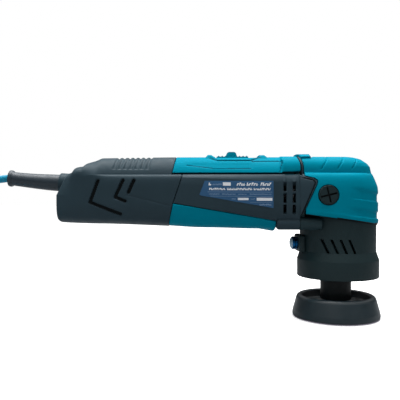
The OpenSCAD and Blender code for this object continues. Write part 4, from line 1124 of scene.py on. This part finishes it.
def bell_skirt():
    profile = [[32.2, 35.3], [34.8, 35.3], [34.8, 50.4], [32.35, 57.5], [32.35, 88], [29.1, 88],
               [29.1, 76], [21.5, 76], [21.5, 73.5], [30.15, 72], [30.15, 57.5], [32.4, 50.5]]
    radii = [0.4, 0.7, 1.6, 1.6, 0.3, 0.1, 0, 0.3, 0.3, 0.5, 0.5, 0.5]
    body = lathe(rounded(profile, radii, 3), 180)
    cutters = []
    for x in (-21, -14, -7, 0):
        slot = [(x, 69), (x + 2.2, 69), (x + 7.2, 57.4), (x + 5, 57.4)]
        cutters += [prism(slot, -60, -15), prism(slot, 15, 60)]
    cutters += [turned(rod(5.35, 0, 39.9), along_x(-60, y, BOSS_Z)) for y in (-BOSS_Y, BOSS_Y)]
    # Wells over the three screws
    for a in np.radians((30, 150, 270)):
        cutters.append(rod(3.4, 71, 74.4, 32, (26.2 * cos(a), 26.2 * sin(a))))
    body = cut(body, *cutters, turned(rod(5.7, 0, 11), along_x(LOCK_X, 0, LOCK_Z)))
    shroud = cut(block((-35.6, -12.5, 56.6), (-30.2, 12.5, 71.4), 1.6),
                 turned(rod(5.7, 0, 12), along_x(LOCK_X, 0, LOCK_Z)))
    make("bell_skirt_v", *join([body, shroud]), BELL_BLACK, "frame", ("bell_skirt",), "black_shell", 35)


bell_skirt()


# -------------------- side plugs, lock button
def side_plug(name, side):
    at = along_y(PLUG_X, 26 * side, PLUG_Z, side)
    cap = rounded([[0, 5.05], [7.9, 5.05], [7.9, 8], [0, 8]], [0, 0.1, 0.5, 0])
    ring = lathe(rounded([[6.9, 7.75], [7.2, 7.75], [7.2, 9], [6.9, 9]], 0.05), 72)
    cross = [turned(block((-long / 2, -wide / 2, 6.6), (long / 2, wide / 2, 9), 0.15),
                    Matrix.Rotation(radians(turn), 4, "Z"))
             for turn, wide, long in ((14, 1.5, 13.4), (104, 1.3, 12.6))]
    top = cut(*[turned(piece, at) for piece in (lathe(cap, 96), *cross, ring)])
    plug = make(name + "_v", *join([top, turned(rod(5.05, 0, 5.1, 64), at)]), BELL_BLACK, "frame",
                (name,), "black_shell", 35)
    # Painted shade: the faces inside the cross slots and the ring groove of the plug's face get a near-black
    # colour for the shade in them
    paint(plug, PAINTED_SHADE_BLACK, lambda x, y, z: (np.hypot(x - PLUG_X, z - PLUG_Z) < 7) & (np.abs(y) > 31.2)
          & (np.abs(y) < 33.9))


side_plug("handle_plug_left", 1)
side_plug("handle_plug_right", -1)


def lock_button():
    face = rounded([[0, 0.35], [5, 0.35], [5.2, 0], [5.65, 0], [5.65, 2.3], [5.2, 2.6], [5.2, 3.1],
                    [5.35, 3.4], [5.35, 6.6], [1.95, 6.6], [1.95, 4.4], [0, 4.4]],
                   [0, 0.3, 0.1, 0.45, 0.2, 0.1, 0.1, 0.2, 0.4, 0, 0, 0], 3)
    make("lock_button_v", *turned(lathe(face, 72), along_x(LOCK_X, 0, LOCK_Z)),
         MATERIALS["anodised_blue"], "lock", ("lock_button",), "anodised_blue", 40)
    dome = [(5.2 * sin(a), 2.3 * (1 - cos(a))) for a in np.radians(np.arange(0, 91, 7.5))]
    dome += [(5.2, 3.0), (0, 3.0)]
    make("lock_button_face", *turned(lathe(dome, 64), along_x(LOCK_X - 1.9, 0, LOCK_Z)),
         SATIN_CAP, "lock", (), "plated_screws", 40)


lock_button()


# -------------------- backing plate
PAD_X = -1.5
PAD_AXIS = (PAD_X, 0)
RIM_HOOKS = 420
HOOKS = 1500
GOLDEN = 2.39996


def backing_plate():
    rim = [[0, 1], [37.1, 1], [37.5, 2.2], [36.9, 5.6], [34.0, 16.4], [33.3, 17.8],
           [32, 18.8], [30.2, 18.8], [28.8, 17.8], [27.6, 12.6], [25.6, 11.6], [19.5, 12.2], [14.2, 14.6],
           [13.25, 15.5], [0, 15.5]]
    radii = [0, 0.3, 0.5, 1.2, 1.2, 1.2, 1.1, 1.1, 1.4, 1.2, 1.4, 1.2, 0.6, 0.3, 0]
    make("pad_body_v", *lathe(rounded(rim, radii, 4), 200, PAD_AXIS), MATERIALS["pad_rubber"], "output",
         ("pad_body",), "pad_rubber", 40)
    neck = [[0, 9], [13.2, 9], [13.2, 33.5], [12.6, 34.1], [12.6, 35.2], [13.2, 35.8], [13.2, 41.5],
            [8.3, 41.5], [8.3, 41], [4, 41], [4, 20], [0, 20]]
    radii = [0, 0, 0.2, 0.2, 0.2, 0.2, 0.9, 0.2, 0, 0, 0, 0]
    flange = [[0, 7.02], [19.9, 7.02], [19.9, 9.98], [0, 9.98]]
    make("pad_hub_v", *join([lathe(rounded(neck, radii, 3), 96, PAD_AXIS),
                             lathe(rounded(flange, 0.1), 96, PAD_AXIS)]),
         MATERIALS["pad_hub"], "output", ("pad_hub",), "pad_hub", 40)
    ring = rounded([[0, 0.3], [36.6, 0.3], [36.9, 0.45], [37.0, 0.98], [0, 0.98]], [0, 0.15, 0.1, 0.1, 0])
    hooks = [lathe(ring, 200, PAD_AXIS)]
    rng = np.random.default_rng(3)
    # Stubble of small hooks round the plate's rim and under it
    for k in range(HOOKS):
        if k < RIM_HOOKS:
            r, t, w = 36.75 + 0.2 * rng.random(), 2 * pi * k / RIM_HOOKS, 0.28
        else:
            r, t, w = 36.3 * sqrt((k - RIM_HOOKS) / (HOOKS - RIM_HOOKS)), GOLDEN * k, 0.42
        x, y = PAD_X + r * cos(t), r * sin(t)
        tip = 0.15 * rng.random() if k % 9 else 0.0
        v = [[x - w, y - w, 0.5], [x + w, y - w, 0.5], [x + w, y + w, 0.5], [x - w, y + w, 0.5],
             [x + 0.25 * (rng.random() - 0.5), y + 0.25 * (rng.random() - 0.5), tip]]
        v = [[min(max(p[0], PAD_X - 37.05), PAD_X + 37.05), p[1], p[2]] for p in v]
        hooks.append((np.array(v), [[0, 1, 2, 3], [1, 0, 4], [2, 1, 4], [3, 2, 4], [0, 3, 4]]))
    make("pad_hook_face_v", *join(hooks), MATERIALS["hook_fastener"], "output", ("pad_hook_face",),
         "hook_fastener", 40)


backing_plate()


# -------------------- strain relief
def strain_relief():
    """A smooth tapered boot that rises a little, with a bead at its tip and a flange inside."""
    profile = [(3.3, -8), (6.9, -8), (6.9, -5.9), (8.3, -5.8), (8.3, -3.2), (6.95, -3.1), (7.1, 0),
               (7.25, 1.5), (7.15, 6), (6.95, 12), (6.6, 20), (6.3, 28), (6.05, 36), (6.0, 40.5),
               (6.2, 41.6), (6.9, 42.2), (7.15, 42.9), (7.15, 44.2), (6.9, 44.9), (6.2, 45.2),
               (3.3, 45.2), (3.3, 30), (3.3, 10)]
    verts, faces = lathe(profile, 64)
    verts[:, 0] -= 0.5 * np.sin(np.clip(verts[:, 2] / 45.2, 0, 1) * pi)
    place = Matrix.Translation((-242.5, 0, 116.4)) @ Matrix.Rotation(radians(BOOT_TILT - 90), 4, "Y")
    make("strain_relief_v", *turned((verts, faces), place), MATERIALS["boot_rubber"], "frame",
         ("strain_relief",), "boot_rubber", 50)


strain_relief()


# -------------------- pieces drawn as in the CAD
def dress_cad_nodes():
    """Gives the looks of this scene to the CAD nodes that are drawn as they are."""
    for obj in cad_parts.values():
        for held in obj.material_slots:
            held.material = MATERIALS[held.material.name.split(".")[0]]


bevelled("slider_knob", "switch_slider", "teal_shell", 0.35)
dress_cad_nodes()


# -------------------- floor, world and lights
def by_ray(tree, kind, lit, seen):
    """Ends a node tree with one shader for the camera and another for every other ray."""
    ray = new_node(tree, "LightPath")
    mix = new_node(tree, "MixShader")
    for socket, source in zip(mix.inputs, (ray.outputs["Is Camera Ray"], lit, seen)):
        tree.links.new(source, socket)
    tree.links.new(mix.outputs[0], new_node(tree, kind).inputs[0])


def stage():
    mesh = bpy.data.meshes.new("floor")
    mesh.from_pydata([(-6, -6, 0), (6, -6, 0), (6, 8, 0), (-6, 8, 0)], [], [(0, 1, 2, 3)])
    floor = placed("floor", mesh)
    floor.location.z = -0.0003
    mat = bpy.data.materials.new("floor")
    mat.use_nodes = True
    tree = mat.node_tree
    tree.nodes.clear()
    dim = new_node(tree, "BsdfDiffuse", Color=(0.29, 0.3, 0.31, 1))
    white = new_node(tree, "BsdfDiffuse", Color=(0.95, 0.95, 0.95, 1))
    glow = new_node(tree, "Emission", Strength=0.55)
    add = new_node(tree, "AddShader")
    tree.links.new(white.outputs[0], add.inputs[0])
    tree.links.new(glow.outputs[0], add.inputs[1])
    by_ray(tree, "OutputMaterial", dim.outputs[0], add.outputs[0])
    mesh.materials.append(mat)


def lighting():
    world = bpy.data.worlds.new("studio")
    scene.world = world
    world.use_nodes = True
    tree = world.node_tree
    tree.nodes.clear()
    white = new_node(tree, "Background", Color=(1, 1, 1, 1))
    split = new_node(tree, "SeparateXYZ", Vector=new_node(tree, "TexCoord").outputs["Generated"])
    ramp = new_node(tree, "ValToRGB", Fac=split.outputs["Z"])
    for stop, height, shade in zip(ramp.color_ramp.elements, (0.2, 0.85),
                                   ((0.05, 0.05, 0.053, 1), (0.9, 0.9, 0.9, 1))):
        stop.position = height
        stop.color = shade
    room = new_node(tree, "Background", Color=ramp.outputs[0])
    by_ray(tree, "OutputWorld", room.outputs[0], white.outputs[0])

    def area(name, place, target, size, power):
        data = bpy.data.lights.new(name, "AREA")
        data.shape = "RECTANGLE"
        data.size, data.size_y = size
        data.energy = power
        lamp = placed(name, data)
        lamp.location = place
        aim = Vector(target) - Vector(place)
        lamp.rotation_euler = aim.to_track_quat("-Z", "Y").to_euler()

    area("overhead", (-0.15, 0.12, 1.1), (-0.12, 0, 0.1), (1.3, 0.9), 22)
    area("front", (-0.5, -1.2, 0.7), (-0.12, 0, 0.1), (0.9, 0.7), 0.3)
    scene.view_settings.view_transform = "Standard"
    scene.view_settings.look = "None"


stage()
lighting()
